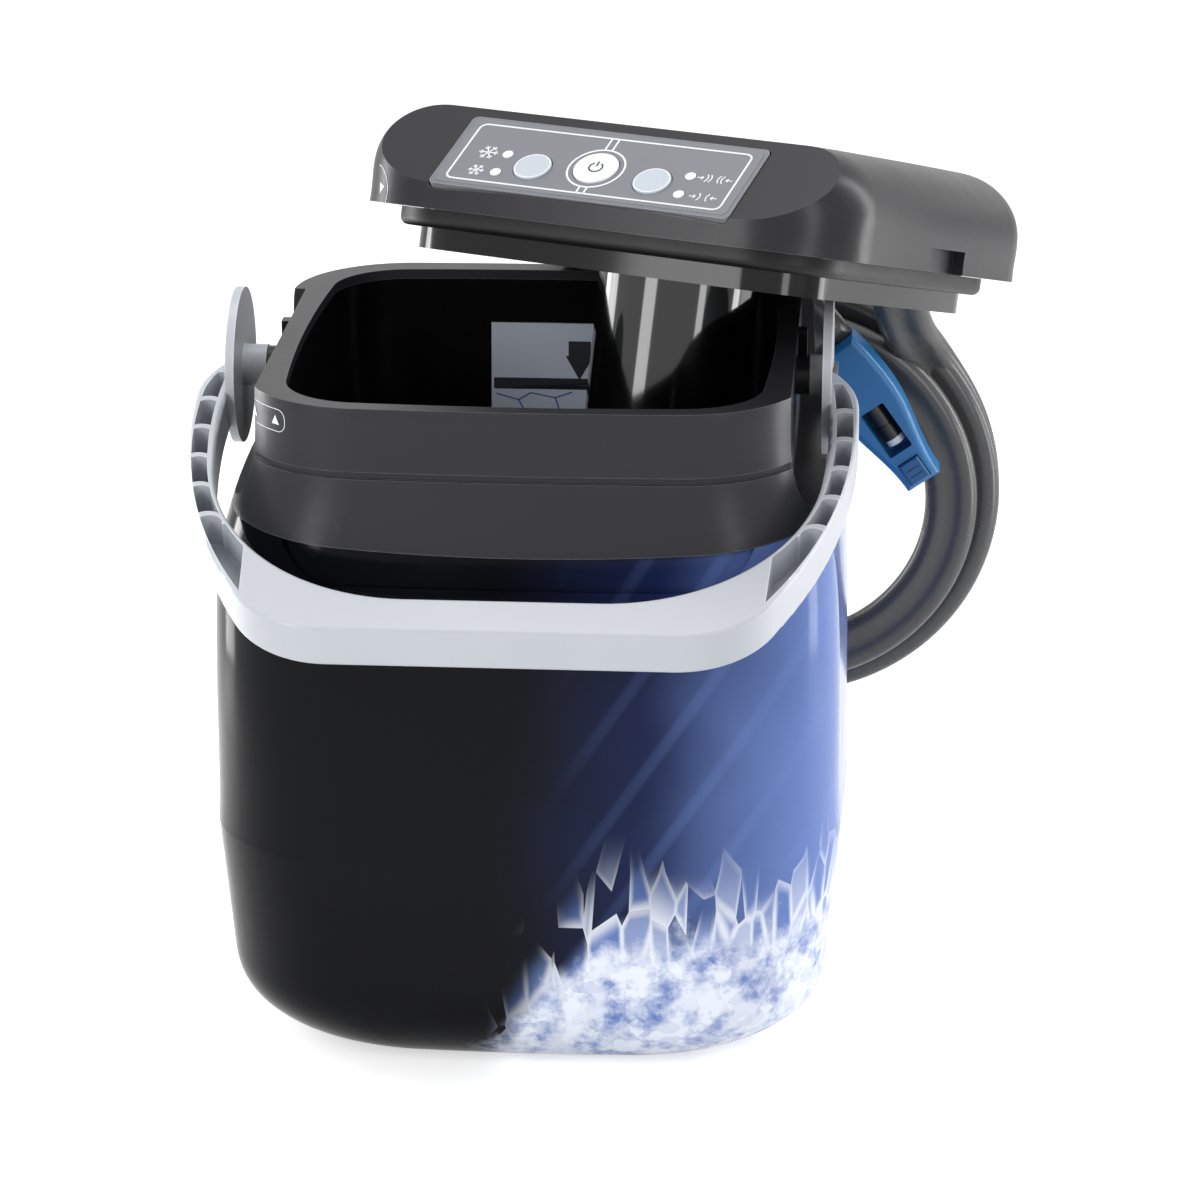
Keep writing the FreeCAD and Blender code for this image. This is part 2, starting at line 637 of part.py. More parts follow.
# ---------------------------------------------------------------- lid frame
LID_PLACE = Placement(Vector(*LID_AT), Rotation(Vector(0, 0, 1), LID_YAW) * Rotation(Vector(1, 0, 0), LID_TILT))
FACIA_POINT = Vector(0, -RIM_DEPTH / 2, FACIA_DROP)
FACIA_TURN = Rotation(Vector(1, 0, 0), FACIA_SLOPE)
FACIA_UP = FACIA_TURN.multVec(Vector(0, 1, 0))
FACIA_OUT = FACIA_TURN.multVec(Vector(0, 0, 1))
PANEL_PLACE = Placement(FACIA_POINT + FACIA_UP * (PANEL_HEIGHT / 2 + 1.2), FACIA_TURN)


def on_lid(shape):
    """Place a shape drawn in the lid's frame."""
    placed = shape.copy()
    placed.Placement = LID_PLACE.multiply(shape.Placement)
    return placed


def on_panel(shape):
    """Place a shape drawn on the panel (x across, y up the slope, z out of its face)."""
    placed = shape.copy()
    placed.Placement = PANEL_PLACE.multiply(shape.Placement)
    return placed


def domed_block(width, depth, corner, height, rounding):
    """Block on the base plane whose top edge is rounded over all the way round."""
    upright = height - rounding
    sections = [(0.0, 0.0), (upright * 0.7, 0.0), (upright, 0.0)]
    for degrees in (20, 40, 58, 72, 82, 90):
        turn = math.radians(degrees)
        sections.append((upright + rounding * math.sin(turn), rounding * (1 - math.cos(turn))))
    wires = [bowed_rectangle(width - 2 * drawn, depth - 2 * drawn, corner - 0.85 * drawn, z)
             for z, drawn in sections]
    return Part.makeLoft(wires, True, False)


def cover_form(inset):
    """The lid cover's outside, drawn in by a wall: domed block with the facia plane cut off."""
    block = domed_block(RIM_WIDTH - 2 * inset, RIM_DEPTH - 2 * inset, LID_CORNER - inset,
                        LID_HEIGHT - inset, LID_ROUND - inset)
    wedge = box((-200, -200, 0), (200, 200, 200))
    wedge.Placement = Placement(FACIA_POINT - FACIA_OUT * inset, FACIA_TURN)
    return block.cut(wedge)


def lid_cover():
    """Satin cover of the lid, with the panel's recess, screw bosses and the ear notches."""
    cover = cover_form(0.0).cut(cover_form(LID_WALL))
    recess = rounded_plate(PANEL_WIDTH + 2 * SEAT + 0.6, PANEL_HEIGHT + 2 * SEAT + 0.6, PANEL_CORNER,
                           -PANEL_THICK + PANEL_PROUD - SEAT, 20.0)
    backing = rounded_plate(PANEL_WIDTH + 6, PANEL_HEIGHT + 4, PANEL_CORNER + 2, -PANEL_THICK - 2.0, 4.0)
    window = rounded_plate(PANEL_WIDTH - 8, PANEL_HEIGHT - 8, PANEL_CORNER, -20.0, 30.0)
    cover = cover.fuse(on_panel(backing).common(cover_form(0.0)))
    cover = cover.cut(on_panel(recess)).cut(on_panel(window))
    for x, y in lid_screw_places():
        boss = rod(SCREW_BOSS, LID_HEIGHT, Vector(x, y, TRAY_THICK + SEAT)).common(cover_form(LID_WALL / 2))
        bore = rod(SCREW_SHANK - 0.6, 16.0, Vector(x, y, 0))
        cover = cover.fuse(boss).cut(bore)
    for hand in (-1, 1):
        x = RIM_WIDTH / 2 - EAR_NOTCH_DEPTH
        notch = box((x, -EAR_NOTCH_WIDTH / 2, -5), (x + 40, EAR_NOTCH_WIDTH / 2, EAR_NOTCH_HEIGHT))
        skin = box((x - LID_WALL, -EAR_NOTCH_WIDTH / 2 - LID_WALL, 0),
                   (x + 10, EAR_NOTCH_WIDTH / 2 + LID_WALL, EAR_NOTCH_HEIGHT + LID_WALL))
        if hand < 0:
            notch, skin = flip(notch), flip(skin)
        cover = cover.fuse(skin.common(cover_form(0.0))).cut(notch)
    for x, diameter in ((GLAND_X, HOSE_DIAMETER), (-GLAND_X, POWER_SOCKET)):
        cover = cover.cut(rod(diameter + 2 * BACKING, 40, Vector(x, RIM_DEPTH / 2 - 20, GLAND_Z), Vector(0, 1, 0)))
    return cover.removeSplitter()


def lid_screw_places():
    """Six screws that hold tray and cover together."""
    return [(sx * LID_SCREW_X, sy * LID_SCREW_Y) for sx in (-1, 1) for sy in (-1, 0.28, 1)]


def lid_tray():
    """Underside of the lid: flange, skirt and pan, with the hole for the tower."""
    flange_inset = LID_WALL + SEAT
    flange = bowed_block(RIM_WIDTH - 2 * flange_inset, RIM_DEPTH - 2 * flange_inset,
                         LID_CORNER - flange_inset, 0.0, TRAY_THICK)
    for hand in (-1, 1):
        x = RIM_WIDTH / 2 - EAR_NOTCH_DEPTH - LID_WALL - SEAT
        corner = box((x, -EAR_NOTCH_WIDTH / 2 - LID_WALL - SEAT, -1), (x + 40, EAR_NOTCH_WIDTH / 2 + LID_WALL + SEAT, 9))
        flange = flange.cut(corner if hand > 0 else flip(corner))
    skirt = bowed_block(RIM_WIDTH - 2 * SKIRT_INSET, RIM_DEPTH - 2 * SKIRT_INSET, LID_CORNER - SKIRT_INSET + 6,
                        -SKIRT_DROP, SKIRT_DROP + TRAY_THICK)
    hollow_inset = SKIRT_INSET + SKIRT_WALL
    under = bowed_block(RIM_WIDTH - 2 * hollow_inset, RIM_DEPTH - 2 * hollow_inset,
                        LID_CORNER - SKIRT_INSET + 4, -SKIRT_DROP, SKIRT_DROP - TRAY_DROP)
    over = bowed_block(RIM_WIDTH - 2 * hollow_inset, RIM_DEPTH - 2 * hollow_inset,
                       LID_CORNER - SKIRT_INSET + 4, -TRAY_DROP + TRAY_THICK, TRAY_DROP + 10)
    tray = flange.fuse(skirt).cut(under).cut(over)
    tray = tray.cut(rod(TOWER_TOP - 2 * TOWER_WALL - 4, 60, Vector(TOWER_X, TOWER_Y, -30)))
    for x, y in lid_screw_places():
        pillar = rod(SCREW_BOSS, TRAY_DROP + TRAY_THICK, Vector(x, y, -TRAY_DROP))
        tray = tray.fuse(pillar)
        tray = tray.cut(rod(SCREW_SHANK + 2 * SEAT, 40, Vector(x, y, -20)))
        tray = tray.cut(rod(SCREW_HEAD + 2 * SEAT, 20, Vector(x, y, -TRAY_DROP + 2.4 - 20)))
    return tray.removeSplitter()


def lid_screws():
    """Screws up through the tray into the cover's bosses."""
    screws = []
    for x, y in lid_screw_places():
        at = -TRAY_DROP + 2.4 - 2.0
        head = rod(SCREW_HEAD, 2.0 - SEAT, Vector(x, y, at))
        shank = rod(SCREW_SHANK - 0.8, 16.0, Vector(x, y, at + 1.0))
        screws.append(on_lid(head.fuse(shank)))
    return group(screws)


def lid_gasket():
    """Rubber bead under the lid's flange, round the skirt."""
    outer = bowed_block(RIM_WIDTH - 2 * GASKET_INSET, RIM_DEPTH - 2 * GASKET_INSET,
                        LID_CORNER - GASKET_INSET + 3, -GASKET_DROP, GASKET_DROP - SEAT)
    low = [e for e in outer.Edges if e.BoundBox.ZMax < -GASKET_DROP + 1e-6]
    outer = outer.makeFillet(GASKET_DROP * 0.45, low)
    inner_inset = SKIRT_INSET - SEAT
    inner = bowed_block(RIM_WIDTH - 2 * inner_inset, RIM_DEPTH - 2 * inner_inset,
                        LID_CORNER - SKIRT_INSET + 6, -20, 40)
    return outer.cut(inner)


# ---------------------------------------------------------------- control panel
def key_places():
    """Name, across, up and diameter of each button."""
    return [("cold_button", -SOFT_KEY_OFFSET, SOFT_KEY_UP, SOFT_KEY),
            ("power_button", 0.0, POWER_KEY_UP, POWER_KEY),
            ("compression_button", SOFT_KEY_OFFSET, SOFT_KEY_UP, SOFT_KEY)]


def led_places():
    """Across and up of each indicator."""
    return [(sx * LED_OFFSET, up) for sx in (-1, 1) for up in LED_UP]


def panel_holes(shape, play):
    """Cut the holes that keys and indicators stand in."""
    for _, x, y, diameter in key_places():
        shape = shape.cut(rod(diameter + 2 * play, 30, Vector(x, y, -15)))
    for x, y in led_places():
        shape = shape.cut(rod(LED_DIAMETER + 2 * SEAT, 30, Vector(x, y, -15)))
    return shape


PANEL_FACE = PANEL_PROUD
OVERLAY_FACE = PANEL_FACE + 0.1


def control_bezel():
    """Plate that carries keys, indicators and film."""
    plate = rounded_plate(PANEL_WIDTH, PANEL_HEIGHT, PANEL_CORNER, PANEL_FACE - PANEL_THICK, PANEL_THICK)
    film_bed = rounded_plate(PANEL_WIDTH - 2 * OVERLAY_MARGIN + 2 * SEAT, PANEL_HEIGHT - 2 * OVERLAY_MARGIN + 2 * SEAT,
                             PANEL_CORNER, OVERLAY_FACE - OVERLAY_THICK - 0.01, 5.0)
    return panel_holes(plate.cut(film_bed), RUNNING)


def control_overlay():
    """Printed film on the panel."""
    film = rounded_plate(PANEL_WIDTH - 2 * OVERLAY_MARGIN, PANEL_HEIGHT - 2 * OVERLAY_MARGIN,
                         PANEL_CORNER, OVERLAY_FACE - OVERLAY_THICK, OVERLAY_THICK)
    return panel_holes(film, RUNNING)


def key_cap(x, y, diameter):
    """Button: a crowned cap with a collar under the plate and a stem to its dome."""
    top = OVERLAY_FACE + KEY_PROUD
    cap = rod(diameter, top + 4.2, Vector(x, y, -4.2))
    rim = [e for e in cap.Edges if e.BoundBox.ZMin > top - 1e-6]
    cap = cap.makeFillet(0.45, rim)
    skirt_top = PANEL_FACE - PANEL_THICK - 0.3
    skirt = rod(diameter + 3.0, 1.2, Vector(x, y, skirt_top - 1.2))
    dome_top = PANEL_FACE - BOARD_DROP + DOME_HEIGHT
    stem = rod(KEY_STEM, -4.0 - dome_top - KEY_TRAVEL - 0.05, Vector(x, y, dome_top + KEY_TRAVEL + 0.05))
    return fuse([cap, skirt, stem])


def switch_domes():
    """Snap domes on the board under the keys."""
    domes = []
    for _, x, y, _ in key_places():
        base = PANEL_FACE - BOARD_DROP
        dome = revolve_z([(0, base), (4.2, base), (3.4, base + DOME_HEIGHT * 0.7), (0, base + DOME_HEIGHT)])
        dome.translate(Vector(x, y, 0))
        domes.append(dome)
    return domes


def indicator_leds():
    """Light pipes that stand in the panel, down to the board."""
    pipes = []
    for x, y in led_places():
        base = PANEL_FACE - BOARD_DROP
        pipe = rod(LED_DIAMETER, OVERLAY_FACE + 0.25 - base, Vector(x, y, base))
        pipes.append(pipe)
    return pipes


def circuit_board():
    """Board behind the panel."""
    board = rounded_plate(PANEL_WIDTH - 14, PANEL_HEIGHT - 12, 2.0, PANEL_FACE - BOARD_DROP - BOARD_THICK, BOARD_THICK)
    chip = box((-10, -8, PANEL_FACE - BOARD_DROP - BOARD_THICK - 2), (6, 6, PANEL_FACE - BOARD_DROP - BOARD_THICK))
    posts = [rod(5.0, BOARD_DROP - PANEL_THICK, Vector(sx * 55.0 * 0.88, 12.4, PANEL_FACE - BOARD_DROP))
             for sx in (-1, 1)]
    return fuse([board, chip] + posts)


# ---------------------------------------------------------------- pump
def pump_tower():
    """Tapered column that hangs from the tray and holds the pump clear of the ice."""
    top, low = -TRAY_DROP - SEAT, -TRAY_DROP - TOWER_LENGTH
    outside = Part.makeCone(TOWER_END / 2, TOWER_TOP / 2, top - low, Vector(TOWER_X, TOWER_Y, low))
    inside = Part.makeCone(TOWER_END / 2 - TOWER_WALL, TOWER_TOP / 2 - TOWER_WALL, top - low,
                           Vector(TOWER_X, TOWER_Y, low))
    web_z = low + 30
    web = rod(TOWER_TOP, 3.0, Vector(TOWER_X, TOWER_Y, web_z)).common(outside)
    shaft_hole = rod(SHAFT_DIAMETER + 2 * RUNNING, 20, Vector(TOWER_X, TOWER_Y, web_z - 5))
    tube_hole = rod(TUBE_DIAMETER + 2 * SEAT, 20, Vector(TOWER_X - 22.0, TOWER_Y, web_z - 5))
    return fuse([outside.cut(inside), web.cut(shaft_hole).cut(tube_hole)])


def intake_strainer():
    """Slotted cup at the foot of the tower."""
    low = -TRAY_DROP - TOWER_LENGTH
    radius = TOWER_END / 2 - TOWER_WALL - SEAT
    cup = rod(2 * radius, STRAINER_HEIGHT, Vector(TOWER_X, TOWER_Y, low - 6))
    cup = cup.cut(rod(2 * (radius - 2.0), STRAINER_HEIGHT, Vector(TOWER_X, TOWER_Y, low - 4)))
    flange = rod(TOWER_END, 6 - SEAT, Vector(TOWER_X, TOWER_Y, low - 6)).cut(
        rod(2 * (radius - 2.0), 10, Vector(TOWER_X, TOWER_Y, low - 4)))
    cup = cup.fuse(flange)
    for n in range(8):
        slot = box((8, -1.5, low - 7), (radius - 4, 1.5, low))
        slot.rotate(Vector(), Vector(0, 0, 1), n * 45)
        slot.translate(Vector(TOWER_X, TOWER_Y, 0))
        cup = cup.cut(slot)
    return cup.removeSplitter()


def pump_motor():
    """Motor that stands on the web in the tower, with its shaft hole."""
    web_top = -TRAY_DROP - TOWER_LENGTH + 33
    can = rod(MOTOR_DIAMETER, MOTOR_LENGTH, Vector(TOWER_X, TOWER_Y, web_top + SEAT))
    edges = [e for e in can.Edges if e.BoundBox.ZLength < 1e-6]
    can = can.makeFillet(2.0, edges)
    return can.cut(rod(SHAFT_DIAMETER + 2 * RUNNING, 30, Vector(TOWER_X, TOWER_Y, web_top)))


def pump_impeller():
    """Shaft, disc and curved blades, under the web."""
    web_z = -TRAY_DROP - TOWER_LENGTH + 30
    shaft = rod(SHAFT_DIAMETER, 30, Vector(TOWER_X, TOWER_Y, web_z - 8))
    disc_z = web_z - 4
    disc = rod(IMPELLER_DIAMETER, 2.0, Vector(TOWER_X, TOWER_Y, disc_z))
    solids = [shaft, disc]
    for n in range(IMPELLER_BLADES):
        blade = box((2.0, -0.9, disc_z - 7), (IMPELLER_DIAMETER / 2 - 1, 0.9, disc_z + 0.5))
        blade.rotate(Vector(2, 0, 0), Vector(0, 0, 1), 25)
        blade.rotate(Vector(), Vector(0, 0, 1), n * 360 / IMPELLER_BLADES)
        blade.translate(Vector(TOWER_X, TOWER_Y, 0))
        solids.append(blade)
    return fuse(solids)


# ---------------------------------------------------------------- machinery in the lid
PAN_TOP = -TRAY_DROP + TRAY_THICK


def air_compressor():
    """Diaphragm compressor on the pan of the tray."""
    x, y = COMPRESSOR_AT
    length, depth, height = COMPRESSOR_SIZE
    low = PAN_TOP + SEAT
    body = box((x - length / 2, y - depth / 2, low), (x + length / 2, y + depth / 2, low + height))
    head = rod(COMPRESSOR_HEAD, height / 2 + COMPRESSOR_RISE, Vector(x, y, low + height / 2))
    return body.makeFillet(2.5, body.Edges).fuse(head)


def solenoid_valve():
    """Air valve beside the tower, with two ports."""
    x, y = VALVE_AT
    length, depth, height = VALVE_SIZE
    low = PAN_TOP + SEAT
    body = box((x - length / 2, y - depth / 2, low), (x + length / 2, y + depth / 2, low + height))
    body = body.makeFillet(1.5, body.Edges)
    for side in (-1, 1):
        body = body.fuse(rod(VALVE_PORT, 9.0, Vector(x + side * length / 4, y, low + height - 1.0)))
    return body


def power_inlet():
    """Jack in the lid's rear wall for a plug-in supply."""
    wall = RIM_DEPTH / 2
    flange = rod(POWER_SOCKET + 3.0, 1.2, Vector(-GLAND_X, wall + SEAT, GLAND_Z), Vector(0, 1, 0))
    barrel = rod(POWER_SOCKET, POWER_DEPTH, Vector(-GLAND_X, wall + SEAT - POWER_DEPTH, GLAND_Z), Vector(0, 1, 0))
    bore = rod(POWER_BORE, POWER_DEPTH, Vector(-GLAND_X, wall + SEAT + 2.0 - POWER_DEPTH, GLAND_Z), Vector(0, 1, 0))
    return flange.fuse(barrel).cut(bore)


GLAND_OUT = Vector(0, math.cos(math.radians(GLAND_LEAN)), -math.sin(math.radians(GLAND_LEAN)))
NECK_ROOT = Vector(GLAND_X, RIM_DEPTH / 2 + 3.0, GLAND_Z + NECK_RISE)


def hose_gland():
    """Tapered strain relief on the lid's rear wall that turns the hose downwards."""
    wall = RIM_DEPTH / 2 + SEAT
    back = Vector(0, 1, 0)
    flange = rod(GLAND_FLANGE, 5.0, Vector(GLAND_X, wall, GLAND_Z), back)
    sleeve = rod(HOSE_DIAMETER, 16.0, Vector(GLAND_X, wall - 11, GLAND_Z), back)
    neck = Part.makeCone((HOSE_DIAMETER + 7) / 2, (HOSE_DIAMETER + 1.5) / 2, GLAND_LENGTH, NECK_ROOT, GLAND_OUT)
    neck = neck.cut(box((-200, 0, -200), (200, wall, 200)))
    bore = rod(HOSE_DIAMETER - 4.0, 18.0, Vector(GLAND_X, wall - 12, GLAND_Z), back)
    return fuse([flange, sleeve, neck]).cut(bore)


# ---------------------------------------------------------------- hose
def lead_points():
    """Route of the lead from the gland down into the coil."""
    out = LID_PLACE.Rotation.multVec(GLAND_OUT)
    exit_at = LID_PLACE.multVec(NECK_ROOT + GLAND_OUT * GLAND_LENGTH)
    return [exit_at, exit_at + out * 26, Vector(150.0, 160.0, 214.0)]


def hose_lead():
    """Hose from the gland to the top of the coil."""
    return tube_along(lead_points(), HOSE_DIAMETER, "hose_lead")


def hose_coil():
    """Outer shape of the coiled hose, a thick flat ring."""
    x, y, z = COIL_AT
    ring = rod(2 * COIL_RADIUS, COIL_DEPTH, Vector(x, y - COIL_DEPTH / 2, z), Vector(0, 1, 0))
    ring = ring.cut(rod(2 * COIL_INNER, COIL_DEPTH + 2, Vector(x, y - COIL_DEPTH / 2 - 1, z), Vector(0, 1, 0)))
    edges = [e for e in ring.Edges if e.BoundBox.YLength < 1e-3]
    return ring.makeFillet(COIL_EDGE, edges)


def hose_tie():
    """Strap round the bottom of the coil."""
    x, y, z = COIL_AT
    half_depth = COIL_DEPTH / 2 + TIE_PLAY
    low, high = z - COIL_RADIUS - TIE_PLAY, z - COIL_INNER + TIE_PLAY + 1.0
    inner = box((x - TIE_WIDTH, y - half_depth, low), (x + TIE_WIDTH, y + half_depth, high))
    outer = box((x - TIE_WIDTH / 2, y - half_depth - TIE_THICK, low - TIE_THICK),
                (x + TIE_WIDTH / 2, y + half_depth + TIE_THICK, high + TIE_THICK))
    across = [e for e in outer.Edges if e.BoundBox.XLength > TIE_WIDTH - 1e-3]
    return outer.makeFillet(COIL_EDGE * 0.8, across).cut(
        inner.makeFillet(COIL_EDGE * 0.8 - TIE_THICK, [e for e in inner.Edges if e.BoundBox.XLength > TIE_WIDTH]))


def tail_points():
    """Route of the hose's end, from the coil's left side up, over and down into the connector."""
    place = connector_place()
    return [Vector(24.0, 146.0, 178.0), Vector(34.0, 140.0, 220.0), Vector(61.0, 131.0, 249.0),
            place.multVec(Vector(-CONNECTOR_LEAD, 0, 0)), place.multVec(Vector())]


def hose_tail():
    """Hose from the coil to the connector."""
    return tube_along(tail_points(), HOSE_DIAMETER, "hose_tail")


# ---------------------------------------------------------------- connector
def connector_place():
    """Frame of the connector: x from hose to tip, z out of its front."""
    start = Vector(CONNECTOR_FROM[0], TAIL_Y, CONNECTOR_FROM[1])
    tip = Vector(CONNECTOR_TO[0], TAIL_Y, CONNECTOR_TO[1])
    along = (tip - start).normalize()
    front = Vector(0, -1, 0)
    side = front.cross(along)
    return Placement(start, Rotation(along, side, front, "XZY"))


CONNECTOR_LENGTH = math.hypot(CONNECTOR_TO[0] - CONNECTOR_FROM[0], CONNECTOR_TO[1] - CONNECTOR_FROM[1])
WINDOW_AT = 0.6 * CONNECTOR_LENGTH
LATCH_AT = CONNECTOR_LENGTH - LATCH_LENGTH - 2.0


def on_connector(shape):
    """Place a shape drawn in the connector's frame."""
    placed = shape.copy()
    placed.Placement = connector_place().multiply(shape.Placement)
    return placed


def connector_body():
    """Housing of the hose connector, waisted towards its tip, with a window."""
    length = CONNECTOR_LENGTH
    stations = [(0.0, CONNECTOR_TAIL / 2), (0.22 * length, CONNECTOR_WIDTH / 2), (0.5 * length, CONNECTOR_WIDTH / 2),
                (0.8 * length, CONNECTOR_TIP / 2 + 1.2), (length, CONNECTOR_TIP / 2)]
    curve = Part.BSplineCurve()
    curve.interpolate([Vector(x, y, 0) for x, y in stations])
    other = Part.BSplineCurve()
    other.interpolate([Vector(x, -y, 0) for x, y in reversed(stations)])
    first, last = stations[0], stations[-1]
    wire = Part.Wire([curve.toShape(),
                      Part.LineSegment(Vector(last[0], last[1], 0), Vector(last[0], -last[1], 0)).toShape(),
                      other.toShape(),
                      Part.LineSegment(Vector(0, -first[1], 0), Vector(0, first[1], 0)).toShape()])
    block = Part.Face(wire).extrude(Vector(0, 0, CONNECTOR_THICK))
    block.translate(Vector(0, 0, -CONNECTOR_THICK / 2))
    flat = [e for e in block.Edges if e.BoundBox.ZLength < 1e-3]
    block = block.makeFillet(3.0, flat)
    window = rounded_plate(WINDOW_LENGTH, WINDOW_WIDTH, WINDOW_CORNER, CONNECTOR_THICK / 2 - WINDOW_DEPTH, 20.0)
    window.translate(Vector(WINDOW_AT, 0, 0))
    seat = box((LATCH_AT - RUNNING, -LATCH_WIDTH / 2 - RUNNING, CONNECTOR_THICK / 2 - 4.0 - LATCH_TRAVEL - RUNNING),
               (LATCH_AT + LATCH_LENGTH + RUNNING, LATCH_WIDTH / 2 + RUNNING, 20))
    return block.cut(window).cut(seat)


def connector_barrel():
    """Valve barrel seen in the connector's window."""
    z = CONNECTOR_THICK / 2 - WINDOW_DEPTH + BARREL_DIAMETER / 2 + SEAT
    start = WINDOW_AT - WINDOW_LENGTH / 2 + SEAT
    barrel = rod(BARREL_DIAMETER, WINDOW_LENGTH * 0.72, Vector(start, 0, z), Vector(1, 0, 0))
    groove = rod(BARREL_DIAMETER + 2, 0.8, Vector(start + WINDOW_LENGTH * 0.4, 0, z), Vector(1, 0, 0))
    core = rod(BARREL_DIAMETER - 1, 1.0, Vector(start + WINDOW_LENGTH * 0.4 - 0.1, 0, z), Vector(1, 0, 0))
    return barrel.cut(groove.cut(core))


def connector_poppet():
    """Pale poppet at the barrel's end."""
    z = CONNECTOR_THICK / 2 - WINDOW_DEPTH + BARREL_DIAMETER / 2 + SEAT
    start = WINDOW_AT - WINDOW_LENGTH / 2 + 2 * SEAT + WINDOW_LENGTH * 0.72
    ring = rod(BARREL_DIAMETER - 0.6, WINDOW_LENGTH * 0.12, Vector(start, 0, z), Vector(1, 0, 0))
    nose = rod(BARREL_DIAMETER - 3.6, WINDOW_LENGTH * 0.14, Vector(start, 0, z), Vector(1, 0, 0))
    return ring.fuse(nose)


def connector_latch():
    """Release tab at the connector's tip, pressed in to let go."""
    low = CONNECTOR_THICK / 2 - 4.0
    tab = box((LATCH_AT, -LATCH_WIDTH / 2, low), (LATCH_AT + LATCH_LENGTH, LATCH_WIDTH / 2,
                                                  CONNECTOR_THICK / 2 + LATCH_PROUD))
    top = [e for e in tab.Edges if e.BoundBox.ZMin > CONNECTOR_THICK / 2 + LATCH_PROUD - 1e-3]
    tab = tab.makeFillet(0.8, top)
    for share in (0.35, 0.65):
        slot = box((LATCH_AT + LATCH_LENGTH * share - 0.4, -LATCH_WIDTH / 2 + 1.5, CONNECTOR_THICK / 2 + LATCH_PROUD - 0.5),
                   (LATCH_AT + LATCH_LENGTH * share + 0.4, LATCH_WIDTH / 2 - 1.5, 30))
        tab = tab.cut(slot)
    return tab


def main():
    """Build every node and write it."""
    os.makedirs("parts", exist_ok=True)
    nodes = {
        "base_pad": base_pad(),
        "base_cap": base_cap(),
        "base_screws": base_screws(),
        "outer_shell": outer_shell(),
        "foam_insulation": foam_insulation(),
        "inner_liner": inner_liner(),
        "collar": collar(),
        "fill_label": fill_label(),
        "carry_bail": carry_bail(),
    }
    for name, pin in zip(("pivot_pin_left", "pivot_pin_right"), pivot_pins()):
        nodes[name] = pin
    lid_nodes = {
        "lid_cover": lid_cover(),
        "lid_tray": lid_tray(),
        "lid_gasket": lid_gasket(),
        "pump_tower": pump_tower(),
        "intake_strainer": intake_strainer(),
        "pump_motor": pump_motor(),
        "pump_impeller": pump_impeller(),
        "air_compressor": air_compressor(),
        "solenoid_valve": solenoid_valve(),
        "power_inlet": power_inlet(),
        "hose_gland": hose_gland(),
        "control_bezel": on_panel(control_bezel()),
        "control_overlay": on_panel(control_overlay()),
        "circuit_board": on_panel(circuit_board()),
        "switch_domes": group([on_panel(d) for d in switch_domes()]),
        "indicator_leds": group([on_panel(p) for p in indicator_leds()]),
    }
    for name, x, y, diameter in key_places():
        lid_nodes[name] = on_panel(key_cap(x, y, diameter))
    for name, shape in lid_nodes.items():
        nodes[name] = on_lid(shape)
    nodes["lid_screws"] = lid_screws()
    nodes["hose_lead"] = hose_lead()
    nodes["hose_coil"] = hose_coil()
    nodes["hose_tie"] = hose_tie()
    nodes["hose_tail"] = hose_tail()
    for name, shape in (("connector_body", connector_body()), ("connector_barrel", connector_barrel()),
                        ("connector_poppet", connector_poppet()), ("connector_latch", connector_latch())):
        nodes[name] = on_connector(shape)
    for name, shape in nodes.items():
        export(shape, name)


main()
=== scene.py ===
"""Looks of a hot and cold therapy machine: finishes, hose, printed marks and stage."""

import logging
import math
from dataclasses import dataclass, field
from enum import Enum
from functools import cache
from typing import Sequence

import bmesh
import bpy
from mathutils import Matrix, Vector
from mathutils.bvhtree import BVHTree


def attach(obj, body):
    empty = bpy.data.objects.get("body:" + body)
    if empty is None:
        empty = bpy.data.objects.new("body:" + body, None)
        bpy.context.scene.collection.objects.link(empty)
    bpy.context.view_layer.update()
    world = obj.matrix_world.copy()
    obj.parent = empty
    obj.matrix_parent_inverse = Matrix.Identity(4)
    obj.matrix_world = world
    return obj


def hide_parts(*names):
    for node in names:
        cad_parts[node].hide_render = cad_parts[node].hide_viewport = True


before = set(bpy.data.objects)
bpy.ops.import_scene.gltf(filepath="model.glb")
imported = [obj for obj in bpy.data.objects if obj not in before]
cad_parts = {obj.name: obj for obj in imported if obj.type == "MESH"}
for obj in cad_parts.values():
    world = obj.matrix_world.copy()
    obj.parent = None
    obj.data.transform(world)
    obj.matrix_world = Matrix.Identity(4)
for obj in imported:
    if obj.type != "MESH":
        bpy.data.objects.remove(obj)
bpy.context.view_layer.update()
LOG = logging.getLogger("therapy_machine")
MM = 0.001
TO_METRES = Matrix.Scale(MM, 4)
WELD = 0.00001
Colour = tuple[float, float, float, float]
Point = tuple[float, float, float]
Spot = Sequence[float]
Socket = bpy.types.NodeSocket
Sockets = bpy.types.bpy_prop_collection
Material = bpy.types.Material
Shape = bmesh.types.BMesh


def paint(red: int, green: int, blue: int) -> Colour:
    """Turns a display colour into the linear colour that shaders use.

    Args:
        red: red, from 0 to 255.
        green: green, from 0 to 255.
        blue: blue, from 0 to 255.

    Returns:
        The linear colour, opaque.
    """

    def linear(value: int) -> float:
        """Returns one channel, made linear."""
        v = value / 255.0
        return v / 12.92 if v <= 0.04045 else ((v + 0.055) / 1.055) ** 2.4

    return linear(red), linear(green), linear(blue), 1.0


